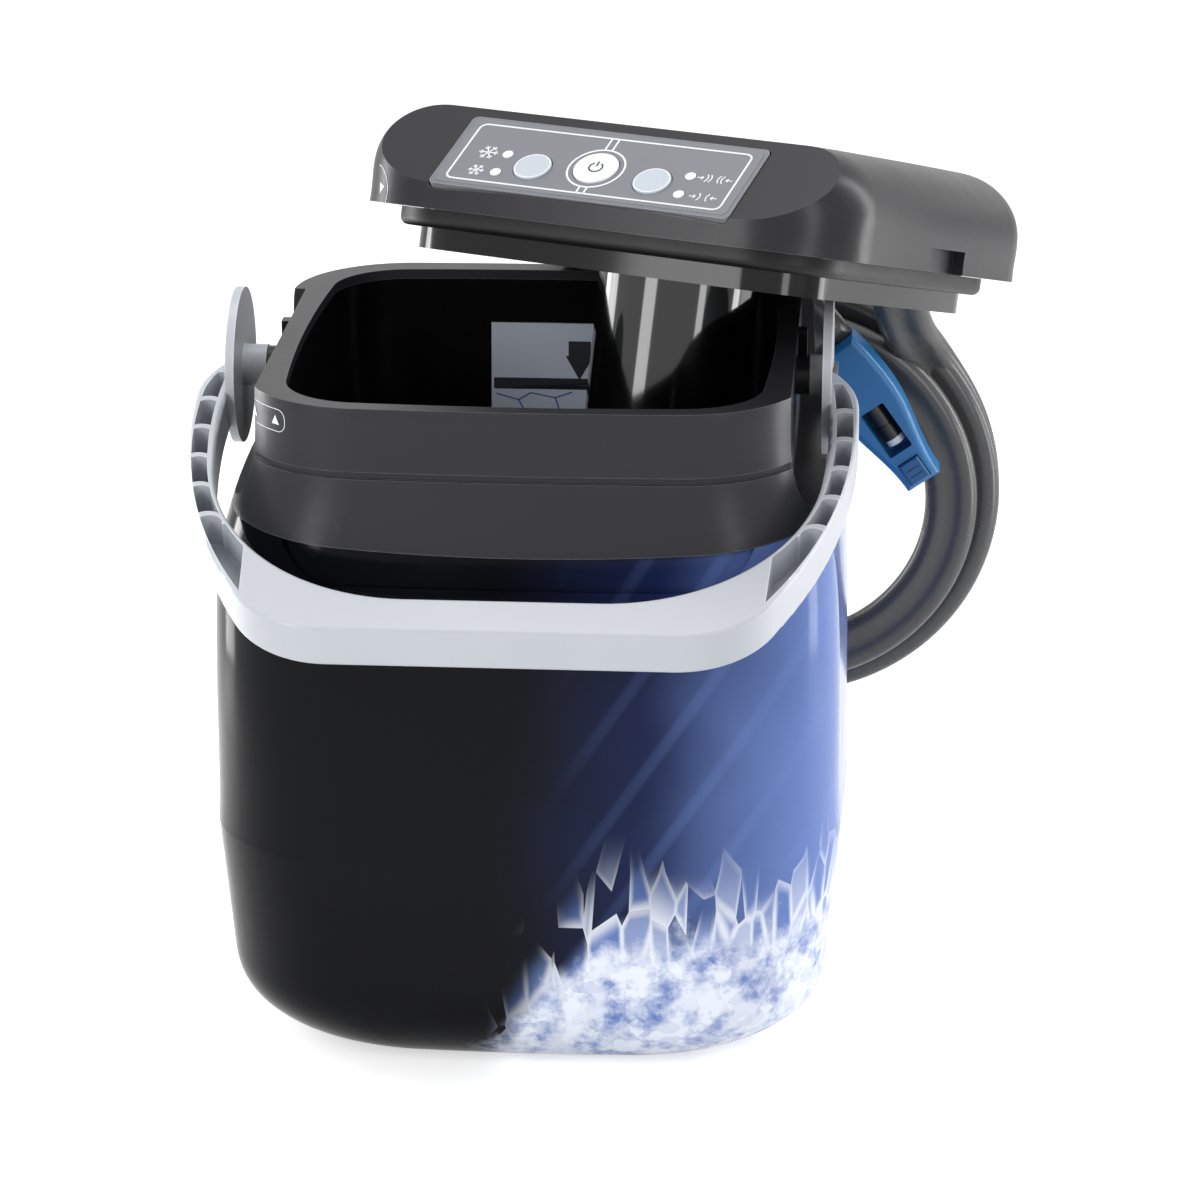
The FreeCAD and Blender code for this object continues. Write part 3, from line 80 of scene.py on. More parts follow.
class Nodes:
    """A shader node tree, with short ways to add nodes and join them."""

    def __init__(self, tree: bpy.types.NodeTree) -> None:
        """Takes over a node tree."""
        self.tree = tree

    def put(self, socket: Socket, value: object) -> None:
        """Joins a socket to another one, or sets its value.

        Args:
            socket: the input.
            value: the output that it reads, or its plain value.
        """
        if isinstance(value, Socket):
            self.tree.links.new(value, socket)
        else:
            socket.default_value = value

    def add(
        self, kind: str, inputs: dict | None = None, **settings: object
    ) -> bpy.types.Node:
        """Adds a shader node.

        Args:
            kind: the node's type, without its ShaderNode prefix.
            inputs: values or sockets by input name or number.
            settings: the node's own properties.

        Returns:
            The new node.
        """
        node = self.tree.nodes.new(f"ShaderNode{kind}")
        for name, value in settings.items():
            setattr(node, name, value)
        for key, value in (inputs or {}).items():
            self.put(node.inputs[key], value)
        return node

    def sum(self, operation: str, first: object, second: object = 0.0) -> Socket:
        """Returns the result of one Math node."""
        node = self.add("Math", {0: first, 1: second}, operation=operation)
        return node.outputs[0]

    def blend(self, value: object, share: object, base: object) -> Socket:
        """Returns a value times a share, added to a base."""
        inputs = {0: value, 1: share, 2: base}
        return self.add("Math", inputs, operation="MULTIPLY_ADD").outputs[0]

    def fade(
        self,
        value: object,
        low: float,
        high: float,
        start: float = 0.0,
        end: float = 1.0,
    ) -> Socket:
        """Returns a smooth step, from start to end as a value goes from low to high."""
        inputs = {0: value, 1: low, 2: high, 3: start, 4: end}
        return self.add("MapRange", inputs, interpolation_type="SMOOTHSTEP").outputs[0]

    def mix(self, factor: object, under: object, over: object) -> Socket:
        """Returns a colour with another one laid over it, as far as a factor says."""
        node = self.add("Mix", {0: factor, 6: under, 7: over}, data_type="RGBA")
        return node.outputs[2]

    def noise(
        self, place: object, scale: object, detail: float = 3.0, roughness: float = 0.5
    ) -> Socket:
        """Returns a noise of so many cells per metre, with finer layers over it."""
        look = {"Vector": place, "Scale": scale, "Detail": detail}
        return self.add("TexNoise", {**look, "Roughness": roughness}).outputs[0]

    def place(self) -> Socket:
        """Returns the object's own coordinates, in metres."""
        return self.add("TexCoord").outputs["Object"]

    def bump(self, height: object, strength: float, distance: float) -> Socket:
        """Returns the normals of a relief, as high as a distance in metres."""
        look = {"Strength": strength, "Distance": distance, "Height": height}
        return self.add("Bump", look).outputs[0]

    def seen_by(self, *rays: str) -> Socket:
        """Tells whether one of the named kinds of ray sees a point.

        Args:
            rays: outputs of the Light Path node.

        Returns:
            The socket of the answer, 1 or 0.
        """
        path = self.add("LightPath")
        found = path.outputs[rays[0]]
        for ray in rays[1:]:
            found = self.sum("MAXIMUM", found, path.outputs[ray])
        return found


def start_material(name: str) -> tuple[Material, Nodes, Sockets]:
    """Starts a material.

    Args:
        name: its name.

    Returns:
        The material, its nodes and the inputs of its shader.
    """
    made = bpy.data.materials.new(name)
    made.use_nodes = True
    shader = made.node_tree.nodes["Principled BSDF"]
    return made, Nodes(made.node_tree), shader.inputs


class SharedEffects:
    """Shader node groups that several finishes use, each built once."""

    @staticmethod
    def start(
        name: str, inputs: dict[str, tuple[str, object]], outputs: dict[str, str]
    ) -> tuple[Nodes, Sockets, Sockets]:
        """Starts a node group.

        Args:
            name: the group's name.
            inputs: socket type and default of each input.
            outputs: socket type of each output.

        Returns:
            The group's nodes, the sockets it reads and those it has to fill.
        """
        tree = bpy.data.node_groups.new(name, "ShaderNodeTree")
        for label, (kind, value) in inputs.items():
            socket = tree.interface.new_socket(
                label, in_out="INPUT", socket_type=f"NodeSocket{kind}"
            )
            socket.default_value = value
        for label, kind in outputs.items():
            tree.interface.new_socket(
                label, in_out="OUTPUT", socket_type=f"NodeSocket{kind}"
            )
        reads = tree.nodes.new("NodeGroupInput").outputs
        fills = tree.nodes.new("NodeGroupOutput").inputs
        return Nodes(tree), reads, fills

    @staticmethod
    @cache
    def moulded_skin() -> bpy.types.NodeTree:
        """Builds a moulded skin: cloudy colour, uneven gloss and fine grain.

        Returns:
            The node group.
        """
        inputs = {
            "Colour": ("Color", (0.5, 0.5, 0.5, 1.0)),
            "Cloud": ("Float", 0.08),
            "Gloss": ("Float", 0.4),
            "Unevenness": ("Float", 0.1),
            "Grain": ("Float", 900.0),
        }
        outputs = {"Colour": "Color", "Roughness": "Float", "Height": "Float"}
        nodes, reads, fills = SharedEffects.start("moulded_skin", inputs, outputs)
        place = nodes.place()
        swing = nodes.blend(nodes.noise(place, 22.0, 4.0), 2.0, -1.0)
        level = nodes.blend(swing, reads["Cloud"], 1.0)
        tint = nodes.add("VectorMath", {0: reads["Colour"]}, operation="SCALE")
        nodes.put(tint.inputs["Scale"], level)
        nodes.put(fills["Colour"], tint.outputs[0])
        smear = nodes.sum("SUBTRACT", nodes.noise(place, 75.0, 3.0, 0.6), 0.5)
        rough = nodes.blend(smear, reads["Unevenness"], reads["Gloss"])
        nodes.put(fills["Roughness"], rough)
        nodes.put(fills["Height"], nodes.noise(place, reads["Grain"], 2.0))
        return nodes.tree

    @staticmethod
    @cache
    def painted_edge_highlight() -> bpy.types.NodeTree:
        """Builds the mask of a painted highlight: a pale line along a part's edges,
        broken into patches by noise.

        Returns:
            The node group.
        """
        inputs = {"Width": ("Float", 0.0008), "Strength": ("Float", 0.5)}
        outputs = {"Mask": "Float"}
        nodes, reads, fills = SharedEffects.start("painted_edge_highlight", inputs, outputs)
        # Painted highlight: a pale line where the bevelled normal turns away from the
        # true normal, that is along the edges.
        rounded = nodes.add("Bevel", {"Radius": reads["Width"]}, samples=6)
        facing = nodes.add("NewGeometry").outputs["Normal"]
        sides = {0: rounded.outputs[0], 1: facing}
        turn = nodes.add("VectorMath", sides, operation="DOT_PRODUCT")
        edge = nodes.fade(turn.outputs["Value"], 0.78, 0.94, 1.0, 0.0)
        # Noise breaks the painted highlight into patches.
        highlight_noise = nodes.noise(nodes.place(), 130.0, 4.0)
        highlight_patches = nodes.fade(highlight_noise, 0.3, 0.6, 0.55, 1.0)
        mask = nodes.sum("MULTIPLY", edge, highlight_patches)
        nodes.put(fills["Mask"], nodes.sum("MULTIPLY", mask, reads["Strength"]))
        return nodes.tree


@dataclass(frozen=True)
class Moulding:
    """The finish of a moulded, cast or printed part.

    Attributes:
        name: the material's name.
        display: its display colour, from 0 to 255.
        roughness: how dull it is.
        cloud: how much its colour varies.
        uneven: how much its gloss varies.
        grain: height of its grain, in metres.
        grain_scale: grains per metre.
        coat: how much clear gloss lies on it.
        metal: 1 for bare metal.
        specular: strength of its plain reflections.
        painted_highlight: how strong the painted highlight along its edges is, or 0 for
            none.
        highlight_width: how wide that painted highlight is, in metres.
    """

    name: str
    display: tuple[int, int, int]
    roughness: float = 0.4
    cloud: float = 0.08
    uneven: float = 0.12
    grain: float = 0.00002
    grain_scale: float = 1400.0
    coat: float = 0.0
    metal: float = 0.0
    specular: float = 0.5
    painted_highlight: float = 0.0
    highlight_width: float = 0.0008

    def material(self) -> Material:
        """Makes the material.

        Returns:
            The new material.
        """
        made, nodes, shader = start_material(self.name)
        plain = paint(*self.display)
        made.diffuse_color = plain
        look = {
            "Colour": plain,
            "Cloud": self.cloud,
            "Gloss": self.roughness,
            "Unevenness": self.uneven,
            "Grain": self.grain_scale,
        }
        effect = SharedEffects.moulded_skin()
        skin = nodes.add("Group", look, node_tree=effect).outputs
        colour = skin["Colour"]
        # Painted highlight: a pale line laid along the part's edges, where bevels would
        # catch the light.
        if self.painted_highlight:
            look = {"Width": self.highlight_width, "Strength": self.painted_highlight}
            effect = SharedEffects.painted_edge_highlight()
            highlight_outputs = nodes.add("Group", look, node_tree=effect).outputs
            pale = tuple(min(1.0, 0.12 + 2.4 * channel) for channel in plain)
            colour = nodes.mix(highlight_outputs["Mask"], colour, pale)
        nodes.put(shader["Base Color"], colour)
        nodes.put(shader["Roughness"], skin["Roughness"])
        nodes.put(shader["Normal"], nodes.bump(skin["Height"], 1.0, self.grain))
        nodes.put(shader["Metallic"], self.metal)
        nodes.put(shader["Coat Weight"], self.coat)
        nodes.put(shader["Coat Roughness"], 0.05)
        nodes.put(shader["Specular IOR Level"], self.specular)
        return made


@dataclass(frozen=True)
class FrostWrap:
    """The glossy printed wrap of the bucket: night to pale blue, ice shards and frost.

    Attributes:
        name: the material's name.
        night: the darkest colour.
        deep: the blue of the middle.
        haze: the pale blue of the lit side.
        ice: the shaded colour of ice.
        frost: the colour of frost.
        bank_top: height of the frost bank on the lit side, in metres.
        spire_top: how far the shards stand above it, in metres.
        lit_from: where the lit side starts, across the bucket, in metres.
        lit_to: where it is fully lit.
        wander: how far that edge wanders.
        streak_lean: how far the streaks lean, in degrees.
        streak_light: how bright they are.
        shard_lean: how far the shards lean, in degrees.
    """

    name: str = "printed_ice_wrap"
    night: Colour = paint(6, 7, 12)
    deep: Colour = paint(24, 36, 78)
    haze: Colour = paint(108, 133, 196)
    ice: Colour = paint(92, 122, 190)
    frost: Colour = paint(238, 243, 253)
    bank_top: float = 0.062
    spire_top: float = 0.05
    lit_from: float = -0.075
    lit_to: float = 0.13
    wander: float = 0.07
    streak_lean: float = -34.0
    streak_light: float = 0.22
    shard_lean: float = 24.0

    def material(self) -> Material:
        """Makes the material.

        Returns:
            The new material.
        """
        made, nodes, shader = start_material(self.name)
        made.diffuse_color = self.deep
        place = nodes.place()
        axes = nodes.add("SeparateXYZ", {0: place})
        across, up = axes.outputs[0], axes.outputs[2]
        drift = nodes.sum("SUBTRACT", nodes.noise(place, 8.0, 3.0), 0.5)
        edge = nodes.blend(drift, self.wander, across)
        side = nodes.fade(edge, self.lit_from, self.lit_to)
        colour = nodes.mix(nodes.fade(side, 0.22, 0.85), self.night, self.deep)
        colour = nodes.mix(nodes.fade(side, 0.62, 1.08), colour, self.haze)
        colour = nodes.mix(self.streaks(nodes, place, side), colour, self.haze)
        rise = nodes.fade(side, 0.12, 0.62, 0.0, self.bank_top)
        over = nodes.sum("SUBTRACT", up, rise)
        spire, tint = self.shards(nodes, place, side, over)
        ice = nodes.mix(tint, self.ice, self.frost)
        colour = nodes.mix(spire, colour, ice)
        bank, sparkle = self.bank(nodes, place, side, over)
        colour = nodes.mix(bank, colour, nodes.mix(sparkle, self.ice, self.frost))
        nodes.put(shader["Base Color"], colour)
        nodes.put(shader["Specular IOR Level"], 0.1)
        nodes.put(shader["Coat Weight"], 0.04)
        nodes.put(shader["Coat Roughness"], 0.03)
        gloss = nodes.fade(nodes.noise(place, 40.0), 0.2, 0.8, 0.10, 0.16)
        nodes.put(shader["Roughness"], gloss)
        ripple = nodes.bump(nodes.noise(place, 120.0), 0.4, 0.00001)
        nodes.put(shader["Normal"], ripple)
        return made

    def streaks(self, nodes: Nodes, place: Socket, side: Socket) -> Socket:
        """Returns the mask of the soft slanting streaks of light.

        Args:
            nodes: the material's nodes.
            place: the bucket's coordinates.
            side: how far towards the lit side a point is.

        Returns:
            The mask's socket.
        """
        lean = (0.0, math.radians(self.streak_lean), 0.0)
        turned = nodes.add("Mapping", {"Vector": place, "Rotation": lean})
        look = {
            "Vector": turned.outputs[0],
            "Scale": 14.0,
            "Distortion": 0.8,
            "Detail": 1.0,
            "Detail Scale": 0.5,
        }
        wave = nodes.add("TexWave", look, bands_direction="X")
        band = nodes.fade(wave.outputs[1], 0.82, 1.0, 0.0, self.streak_light)
        return nodes.sum("MULTIPLY", band, nodes.fade(side, 0.35, 0.95))

    def shards(
        self, nodes: Nodes, place: Socket, side: Socket, over: Socket
    ) -> tuple[Socket, Socket]:
        """Makes the ice shards that stand above the frost.

        Args:
            nodes: the material's nodes.
            place: the bucket's coordinates.
            side: how far towards the lit side a point is.
            over: height above the frost bank.

        Returns:
            The sockets of the shards' mask and of their brightness.
        """
        look = {
            "Vector": place,
            "Rotation": (0.0, math.radians(self.shard_lean), 0.0),
            "Scale": (1.0, 1.0, 0.3),
        }
        leaning = nodes.add("Mapping", look)
        cells = {"Vector": leaning.outputs[0], "Scale": 130.0}
        crack = nodes.add("TexVoronoi", cells, feature="DISTANCE_TO_EDGE")
        line = nodes.fade(crack.outputs[0], 0.0, 0.3, 1.0, 0.0)
        cell = nodes.add("TexVoronoi", cells)
        parts = nodes.add("SeparateColor", {0: cell.outputs["Color"]})
        reach = nodes.sum("MULTIPLY", parts.outputs[0], self.spire_top)
        past_tip = nodes.sum("SUBTRACT", over, reach)
        stands = nodes.fade(past_tip, -0.014, 0.004, 1.0, 0.0)
        there = nodes.sum("MULTIPLY", stands, nodes.fade(side, 0.2, 0.45))
        veil = nodes.fade(over, 0.0, self.spire_top * 0.8, 0.9, 0.1)
        glow = nodes.sum("MULTIPLY", line, line)
        facet = nodes.fade(parts.outputs[1], 0.2, 1.0, 0.05, 0.6)
        tint = nodes.sum("MAXIMUM", glow, facet)
        return nodes.sum("MULTIPLY", there, veil), tint

    def bank(
        self, nodes: Nodes, place: Socket, side: Socket, over: Socket
    ) -> tuple[Socket, Socket]:
        """Makes the frost bank along the bottom.

        Args:
            nodes: the material's nodes.
            place: the bucket's coordinates.
            side: how far towards the lit side a point is.
            over: height above the frost bank.

        Returns:
            The sockets of the bank's mask and of its brightness.
        """
        ragged = nodes.sum("SUBTRACT", nodes.noise(place, 42.0, 7.0, 0.66), 0.5)
        edge = nodes.blend(ragged, -0.07, over)
        bank = nodes.fade(edge, -0.012, 0.008, 1.0, 0.0)
        there = nodes.sum("MULTIPLY", bank, nodes.fade(side, 0.1, 0.3))
        look = {"Vector": place, "Scale": 150.0}
        flakes = nodes.add("TexVoronoi", look, distance="MANHATTAN")
        parts = nodes.add("SeparateColor", {0: flakes.outputs["Color"]})
        cloud = nodes.fade(nodes.noise(place, 75.0, 6.0, 0.66), 0.3, 0.56)
        bright = nodes.blend(parts.outputs[0], 0.35, nodes.sum("MULTIPLY", cloud, 0.75))
        return there, bright


@dataclass(frozen=True)
class CellFoam:
    """Rigid insulation foam with open cells."""

    name: str = "insulation_foam"
    colour: Colour = paint(222, 208, 168)
    cells_per_metre: float = 700.0

    def material(self) -> Material:
        """Makes the material.

        Returns:
            The new material.
        """
        made, nodes, shader = start_material(self.name)
        look = {"Vector": nodes.place(), "Scale": self.cells_per_metre}
        depth = nodes.add("TexVoronoi", look).outputs["Distance"]
        pale = tuple(min(1.0, c * 1.15) for c in self.colour)
        shade = nodes.fade(depth, 0.1, 0.8)
        nodes.put(shader["Base Color"], nodes.mix(shade, self.colour, pale))
        nodes.put(shader["Normal"], nodes.bump(depth, 0.8, 0.0004))
        nodes.put(shader["Roughness"], 0.9)
        return made


@dataclass(frozen=True)
class CircuitFinish:
    """A circuit board: green mask over copper tracks."""

    name: str = "circuit_board_mask"
    mask: Colour = paint(16, 74, 44)
    track: Colour = paint(38, 118, 70)

    def material(self) -> Material:
        """Makes the material.

        Returns:
            The new material.
        """
        made, nodes, shader = start_material(self.name)
        look = {
            "Vector": nodes.place(),
            "Color1": (0.0, 0.0, 0.0, 1.0),
            "Color2": (0.1, 0.1, 0.1, 1.0),
            "Mortar": (1.0, 1.0, 1.0, 1.0),
            "Scale": 160.0,
            "Mortar Size": 0.06,
        }
        line = nodes.add("TexBrick", look).outputs["Fac"]
        nodes.put(shader["Base Color"], nodes.mix(line, self.mask, self.track))
        nodes.put(shader["Roughness"], 0.35)
        nodes.put(shader["Coat Weight"], 0.3)
        return made


def bare_metal(
    name: str, display: tuple[int, int, int], roughness: float, uneven: float
) -> Moulding:
    """Returns the finish of a bare metal part."""
    return Moulding(name, display, roughness, 0.05, uneven, 0.00001, 2500.0, metal=1.0)


class Finishes:
    """Every material of the machine, made once and given out by name.

    The plain numbers are roughness, cloud, uneven, grain and grain_scale.
    """

    # The charcoal, lid, bail and bezel finishes carry a painted highlight along their
    # edges.
    charcoal = Moulding(
        "charcoal_satin", (50, 50, 53), 0.32, 0.06, 0.1, specular=0.2, painted_highlight=0.6
    )
    lid = Moulding(
        "lid_charcoal_satin", (38, 38, 41), 0.3, 0.06, 0.1, specular=0.24, painted_highlight=0.45
    )
    bead = Moulding("gasket_rubber", (20, 20, 22), 0.42, 0.05, 0.1, specular=0.3)
    gloss_black = Moulding(
        "gloss_black", (9, 9, 10), 0.11, 0.2, 0.05, 0.000003, 400.0, specular=0.32
    )
    tub = Moulding(
        "tub_black", (9, 9, 11), 0.24, 0.2, 0.1, 0.00001, 700.0, specular=0.3
    )
    tower = Moulding(
        "tower_gloss_black", (8, 8, 10), 0.09, 0.2, 0.04, 0.000003, 300.0, coat=0.5
    )
    bail = Moulding(
        "bail_cool_grey", (190, 194, 201), 0.34, 0.03, 0.1, painted_highlight=0.6, highlight_width=0.0012
    )
    pin = Moulding("pivot_grey", (120, 123, 128), 0.38)
    rubber = Moulding("foot_rubber", (30, 30, 31), 0.75, 0.12, 0.1, grain=0.00008)
    label = Moulding("fill_label_film", (212, 220, 236), 0.35, 0.03, 0.05)
    bezel = Moulding("panel_bezel_grey", (112, 114, 120), 0.34, 0.04, painted_highlight=0.5)
    film = Moulding("panel_film_grey", (118, 120, 127), 0.42, 0.03)
    key = Moulding("soft_key_grey", (190, 198, 208), 0.45, 0.03)
    key_white = Moulding("power_key_white", (232, 234, 238), 0.4, 0.02)
    print_white = Moulding("print_white", (238, 240, 244), 0.5, 0.02)
    print_dark = Moulding("print_dark", (34, 36, 44), 0.5, 0.05)
    print_blue = Moulding("print_blue", (52, 84, 168), 0.5, 0.05)
    lamp = Moulding("led_lens", (240, 243, 248), 0.2, 0.02, 0.04)
    hose = Moulding("hose_satin", (66, 66, 67), 0.27, 0.06, 0.1, grain_scale=1800.0)
    tie = Moulding("hose_tie_rubber", (24, 24, 25), 0.55)
    blue = Moulding("connector_blue", (24, 104, 160), 0.34, 0.05, 0.1)
    blue_dark = Moulding("latch_blue", (14, 82, 132), 0.36, 0.05)
    black = Moulding("plain_black", (20, 20, 21), 0.4)
    white = Moulding("valve_white", (225, 227, 230), 0.4)
    rotor = Moulding("impeller_ivory", (214, 210, 196), 0.4)
    steel = bare_metal("screw_steel", (176, 178, 182), 0.28, 0.15)
    can = bare_metal("motor_can", (150, 152, 156), 0.32, 0.15)
    brass = bare_metal("fitting_brass", (190, 160, 96), 0.3, 0.1)
    wrap = FrostWrap()
    foam = CellFoam()
    circuit = CircuitFinish()

    @classmethod
    @cache
    def give(cls, name: str) -> Material:
        """Returns the material of a finish, made at its first use."""
        return getattr(cls, name).material()


NODE_FINISHES = {
    "outer_shell": "wrap",
    "base_cap": "wrap",
    "base_pad": "rubber",
    "base_screws": "steel",
    "collar": "charcoal",
    "inner_liner": "tub",
    "foam_insulation": "foam",
    "fill_label": "label",
    "pivot_pin_left": "pin",
    "pivot_pin_right": "pin",
    "carry_bail": "bail",
    "lid_cover": "lid",
    "lid_tray": "gloss_black",
    "lid_gasket": "bead",
    "lid_screws": "steel",
    "control_bezel": "bezel",
    "control_overlay": "film",
    "cold_button": "key",
    "compression_button": "key",
    "power_button": "key_white",
    "switch_domes": "steel",
    "indicator_leds": "lamp",
    "circuit_board": "circuit",
    "pump_tower": "tower",
    "intake_strainer": "black",
    "pump_motor": "can",
    "pump_impeller": "rotor",
    "air_compressor": "black",
    "solenoid_valve": "brass",
    "power_inlet": "black",
    "hose_gland": "tie",
    "hose_tie": "tie",
    "hose_lead": "hose",
    "hose_coil": "hose",
    "hose_tail": "hose",
    "connector_body": "blue",
    "connector_barrel": "black",
    "connector_poppet": "white",
    "connector_latch": "blue_dark",
}


def add_object(name: str, data: bpy.types.ID) -> bpy.types.Object:
    """Adds an object to the scene.

    Args:
        name: its name.
        data: its mesh, lamp or camera.

    Returns:
        The object.
    """
    made = bpy.data.objects.new(name, data)
    bpy.context.scene.collection.objects.link(made)
    return made


def add_piece(
    name: str, shape: Shape, finish: str, body: str, smooth: bool = True
) -> bpy.types.Object:
    """Makes a finished piece from a shape.

    Args:
        name: the piece's name.
        shape: its bmesh, in metres and in place; it is freed.
        finish: the name of its finish.
        body: the body that carries it.
        smooth: whether its faces are shaded smooth.

    Returns:
        The piece's object.
    """
    for face in shape.faces:
        face.smooth = smooth
    mesh = bpy.data.meshes.new(name)
    shape.to_mesh(mesh)
    shape.free()
    piece = add_object(name, mesh)
    mesh.materials.append(Finishes.give(finish))
    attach(piece, body)
    LOG.info("%s: %d faces on %s", name, len(mesh.polygons), body)
    return piece


def dress_nodes() -> None:
    """Gives every CAD node its finish."""
    for name, finish in NODE_FINISHES.items():
        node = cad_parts[name]
        node.data.materials.clear()
        node.data.materials.append(Finishes.give(finish))
        LOG.info("%s wears %s", name, finish)


@dataclass
class Relief:
    """Flat marks, drawn in millimetres on a plane and given a hair's thickness.

    Attributes:
        shape: the bmesh that the marks are drawn in.
        thick: how thick they are.
        sink: how deep they stand in a flat surface.
        clear: how far they stand off a curved one.
        above: from how high over the plane they drop onto it.
        ring_sides: how many sides a ring has.
        arc_step: how many degrees of an arc one side takes.
    """

    shape: Shape = field(default_factory=bmesh.new)
    thick: float = 0.12
    sink: float = 0.02
    clear: float = 0.06
    above: float = 12.0
    ring_sides: int = 56
    arc_step: int = 8

    def place_at(self, at: Spot, turn: float = 0.0) -> Matrix:
        """Returns the matrix of a place on the plane, turned by degrees."""
        spot = Matrix.Translation((at[0], at[1], 0.0))
        return spot @ Matrix.Rotation(math.radians(turn), 4, "Z")

    def block(self, at: Spot, wide: float, high: float, turn: float = 0.0) -> list:
        """Draws a plain rectangle.

        Args:
            at: its middle.
            wide: its width.
            high: its height.
            turn: how far it is turned, in degrees.

        Returns:
            Its corners.
        """
        size = Matrix.Diagonal((wide, high, 1.0, 1.0))
        made = bmesh.ops.create_grid(
            self.shape,
            x_segments=1,
            y_segments=1,
            size=0.5,
            matrix=self.place_at(at, turn) @ size,
        )
        return made["verts"]

    def bar(self, start: Spot, end: Spot, width: float) -> None:
        """Draws a straight line.

        Args:
            start: where it starts.
            end: where it ends.
            width: how wide it is.
        """
        run = Vector(end) - Vector(start)
        middle = (Vector(start) + Vector(end)) / 2.0
        turn = math.degrees(math.atan2(run.y, run.x))
        self.block(middle, run.length, width, turn)

    def disc(self, at: Spot, radius: float, sides: int, turn: float = 0.0) -> list:
        """Draws a filled disc or polygon.

        Args:
            at: its middle.
            radius: its radius.
            sides: how many sides it has.
            turn: how far it is turned, in degrees.

        Returns:
            Its corners.
        """
        made = bmesh.ops.create_circle(
            self.shape,
            cap_ends=True,
            segments=sides,
            radius=radius,
            matrix=self.place_at(at, turn),
        )
        return made["verts"]

    def triangle(self, at: Spot, radius: float, points: float) -> None:
        """Draws a triangle that points by an angle, in degrees."""
        self.disc(at, radius, 3, points - 90.0)

    def hollow(self, corners: list, width: float) -> None:
        """Leaves only a rim of a face.

        Args:
            corners: the face's corners.
            width: how wide the rim is.
        """
        faces = list({face for corner in corners for face in corner.link_faces})
        bmesh.ops.inset_individual(
            self.shape, faces=faces, thickness=width, use_even_offset=True
        )
        bmesh.ops.delete(self.shape, geom=faces, context="FACES_ONLY")

    def ring(self, at: Spot, radius: float, width: float) -> None:
        """Draws a ring, by its outer radius."""
        self.hollow(self.disc(at, radius, self.ring_sides), width)

    def arc(
        self, at: Spot, radius: float, width: float, start: float, sweep: float
    ) -> None:
        """Draws an arc.

        Args:
            at: its centre.
            radius: the radius of its middle line.
            width: how wide it is.
            start: the angle where it starts, in degrees.
            sweep: how far it goes, in degrees.
        """
        angle = math.radians(start)
        out = Vector((math.cos(angle), math.sin(angle), 0.0))
        centre = Vector((at[0], at[1], 0.0))
        ends = [
            self.shape.verts.new(centre + out * (radius + side * width / 2.0))
            for side in (-1.0, 1.0)
        ]
        edge = self.shape.edges.new(ends)
        bmesh.ops.spin(
            self.shape,
            geom=[*ends, edge],
            cent=centre,
            axis=(0.0, 0.0, 1.0),
            angle=math.radians(sweep),
            steps=max(6, int(abs(sweep) / self.arc_step)),
        )

    def slab(self, at: Spot, wide: float, high: float, corner: float) -> list:
        """Draws a filled rectangle with round corners.

        Args:
            at: its middle.
            wide: its width.
            high: its height.
            corner: the radius of its corners.

        Returns:
            The corners of its outline.
        """
        rounded = bmesh.ops.bevel(
            self.shape,
            geom=self.block(at, wide, high),
            offset=corner,
            offset_type="OFFSET",
            affect="VERTICES",
            segments=6,
            profile=0.5,
            material=-1,
        )
        return rounded["verts"]

    def outline(
        self, at: Spot, wide: float, high: float, corner: float, width: float
    ) -> None:
        """Draws the outline of a rectangle with round corners."""
        self.hollow(self.slab(at, wide, high, corner), width)

    def thicken(self) -> None:
        """Gives the marks their thickness, upwards from the plane."""
        faces = list(self.shape.faces)
        raised = bmesh.ops.extrude_face_region(
            self.shape, geom=faces, use_keep_orig=True
        )
        verts = [g for g in raised["geom"] if isinstance(g, bmesh.types.BMVert)]
        bmesh.ops.translate(self.shape, verts=verts, vec=(0.0, 0.0, self.thick))
        bmesh.ops.recalc_face_normals(self.shape, faces=self.shape.faces)

    def lay(self, place: Matrix, level: float) -> Shape:
        """Lays the marks on a flat surface.

        Args:
            place: the plane's matrix, in millimetres.
            level: how far the surface is above the plane.

        Returns:
            The shape, in metres.
        """
        self.thicken()
        lift = Matrix.Translation((0.0, 0.0, level - self.sink))
        whole = TO_METRES @ place @ lift
        bmesh.ops.transform(self.shape, matrix=whole, verts=self.shape.verts)
        return self.shape

    def drape(self, place: Matrix, node: str, cuts: int = 3) -> Shape:
        """Lays the marks over a curved surface, straight down onto it.

        Args:
            place: the matrix of the plane above the surface, in millimetres.
            node: the CAD node whose surface they lie on.
            cuts: how often their edges are divided first.

        Returns:
            The shape, in metres.
        """
        bmesh.ops.subdivide_edges(
            self.shape, edges=self.shape.edges, cuts=cuts, use_grid_fill=True
        )
        self.thicken()
        tree = surface(node)
        whole = TO_METRES @ place
        down = -(whole.to_3x3() @ Vector((0.0, 0.0, 1.0))).normalized()
        for vert in self.shape.verts:
            height = vert.co.z + self.clear
            start = whole @ Vector((vert.co.x, vert.co.y, self.above))
            hit = tree.ray_cast(start, down)[0]
            ground = hit if hit is not None else whole @ vert.co
            vert.co = ground - down * height * MM
        return self.shape


def surface(node: str) -> BVHTree:
    """Reads the surface of a CAD node, to lay marks on.

    Args:
        node: the node's name.

    Returns:
        The tree of its faces.
    """
    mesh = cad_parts[node].data
    corners = [v.co for v in mesh.vertices]
    return BVHTree.FromPolygons(corners, [p.vertices for p in mesh.polygons])


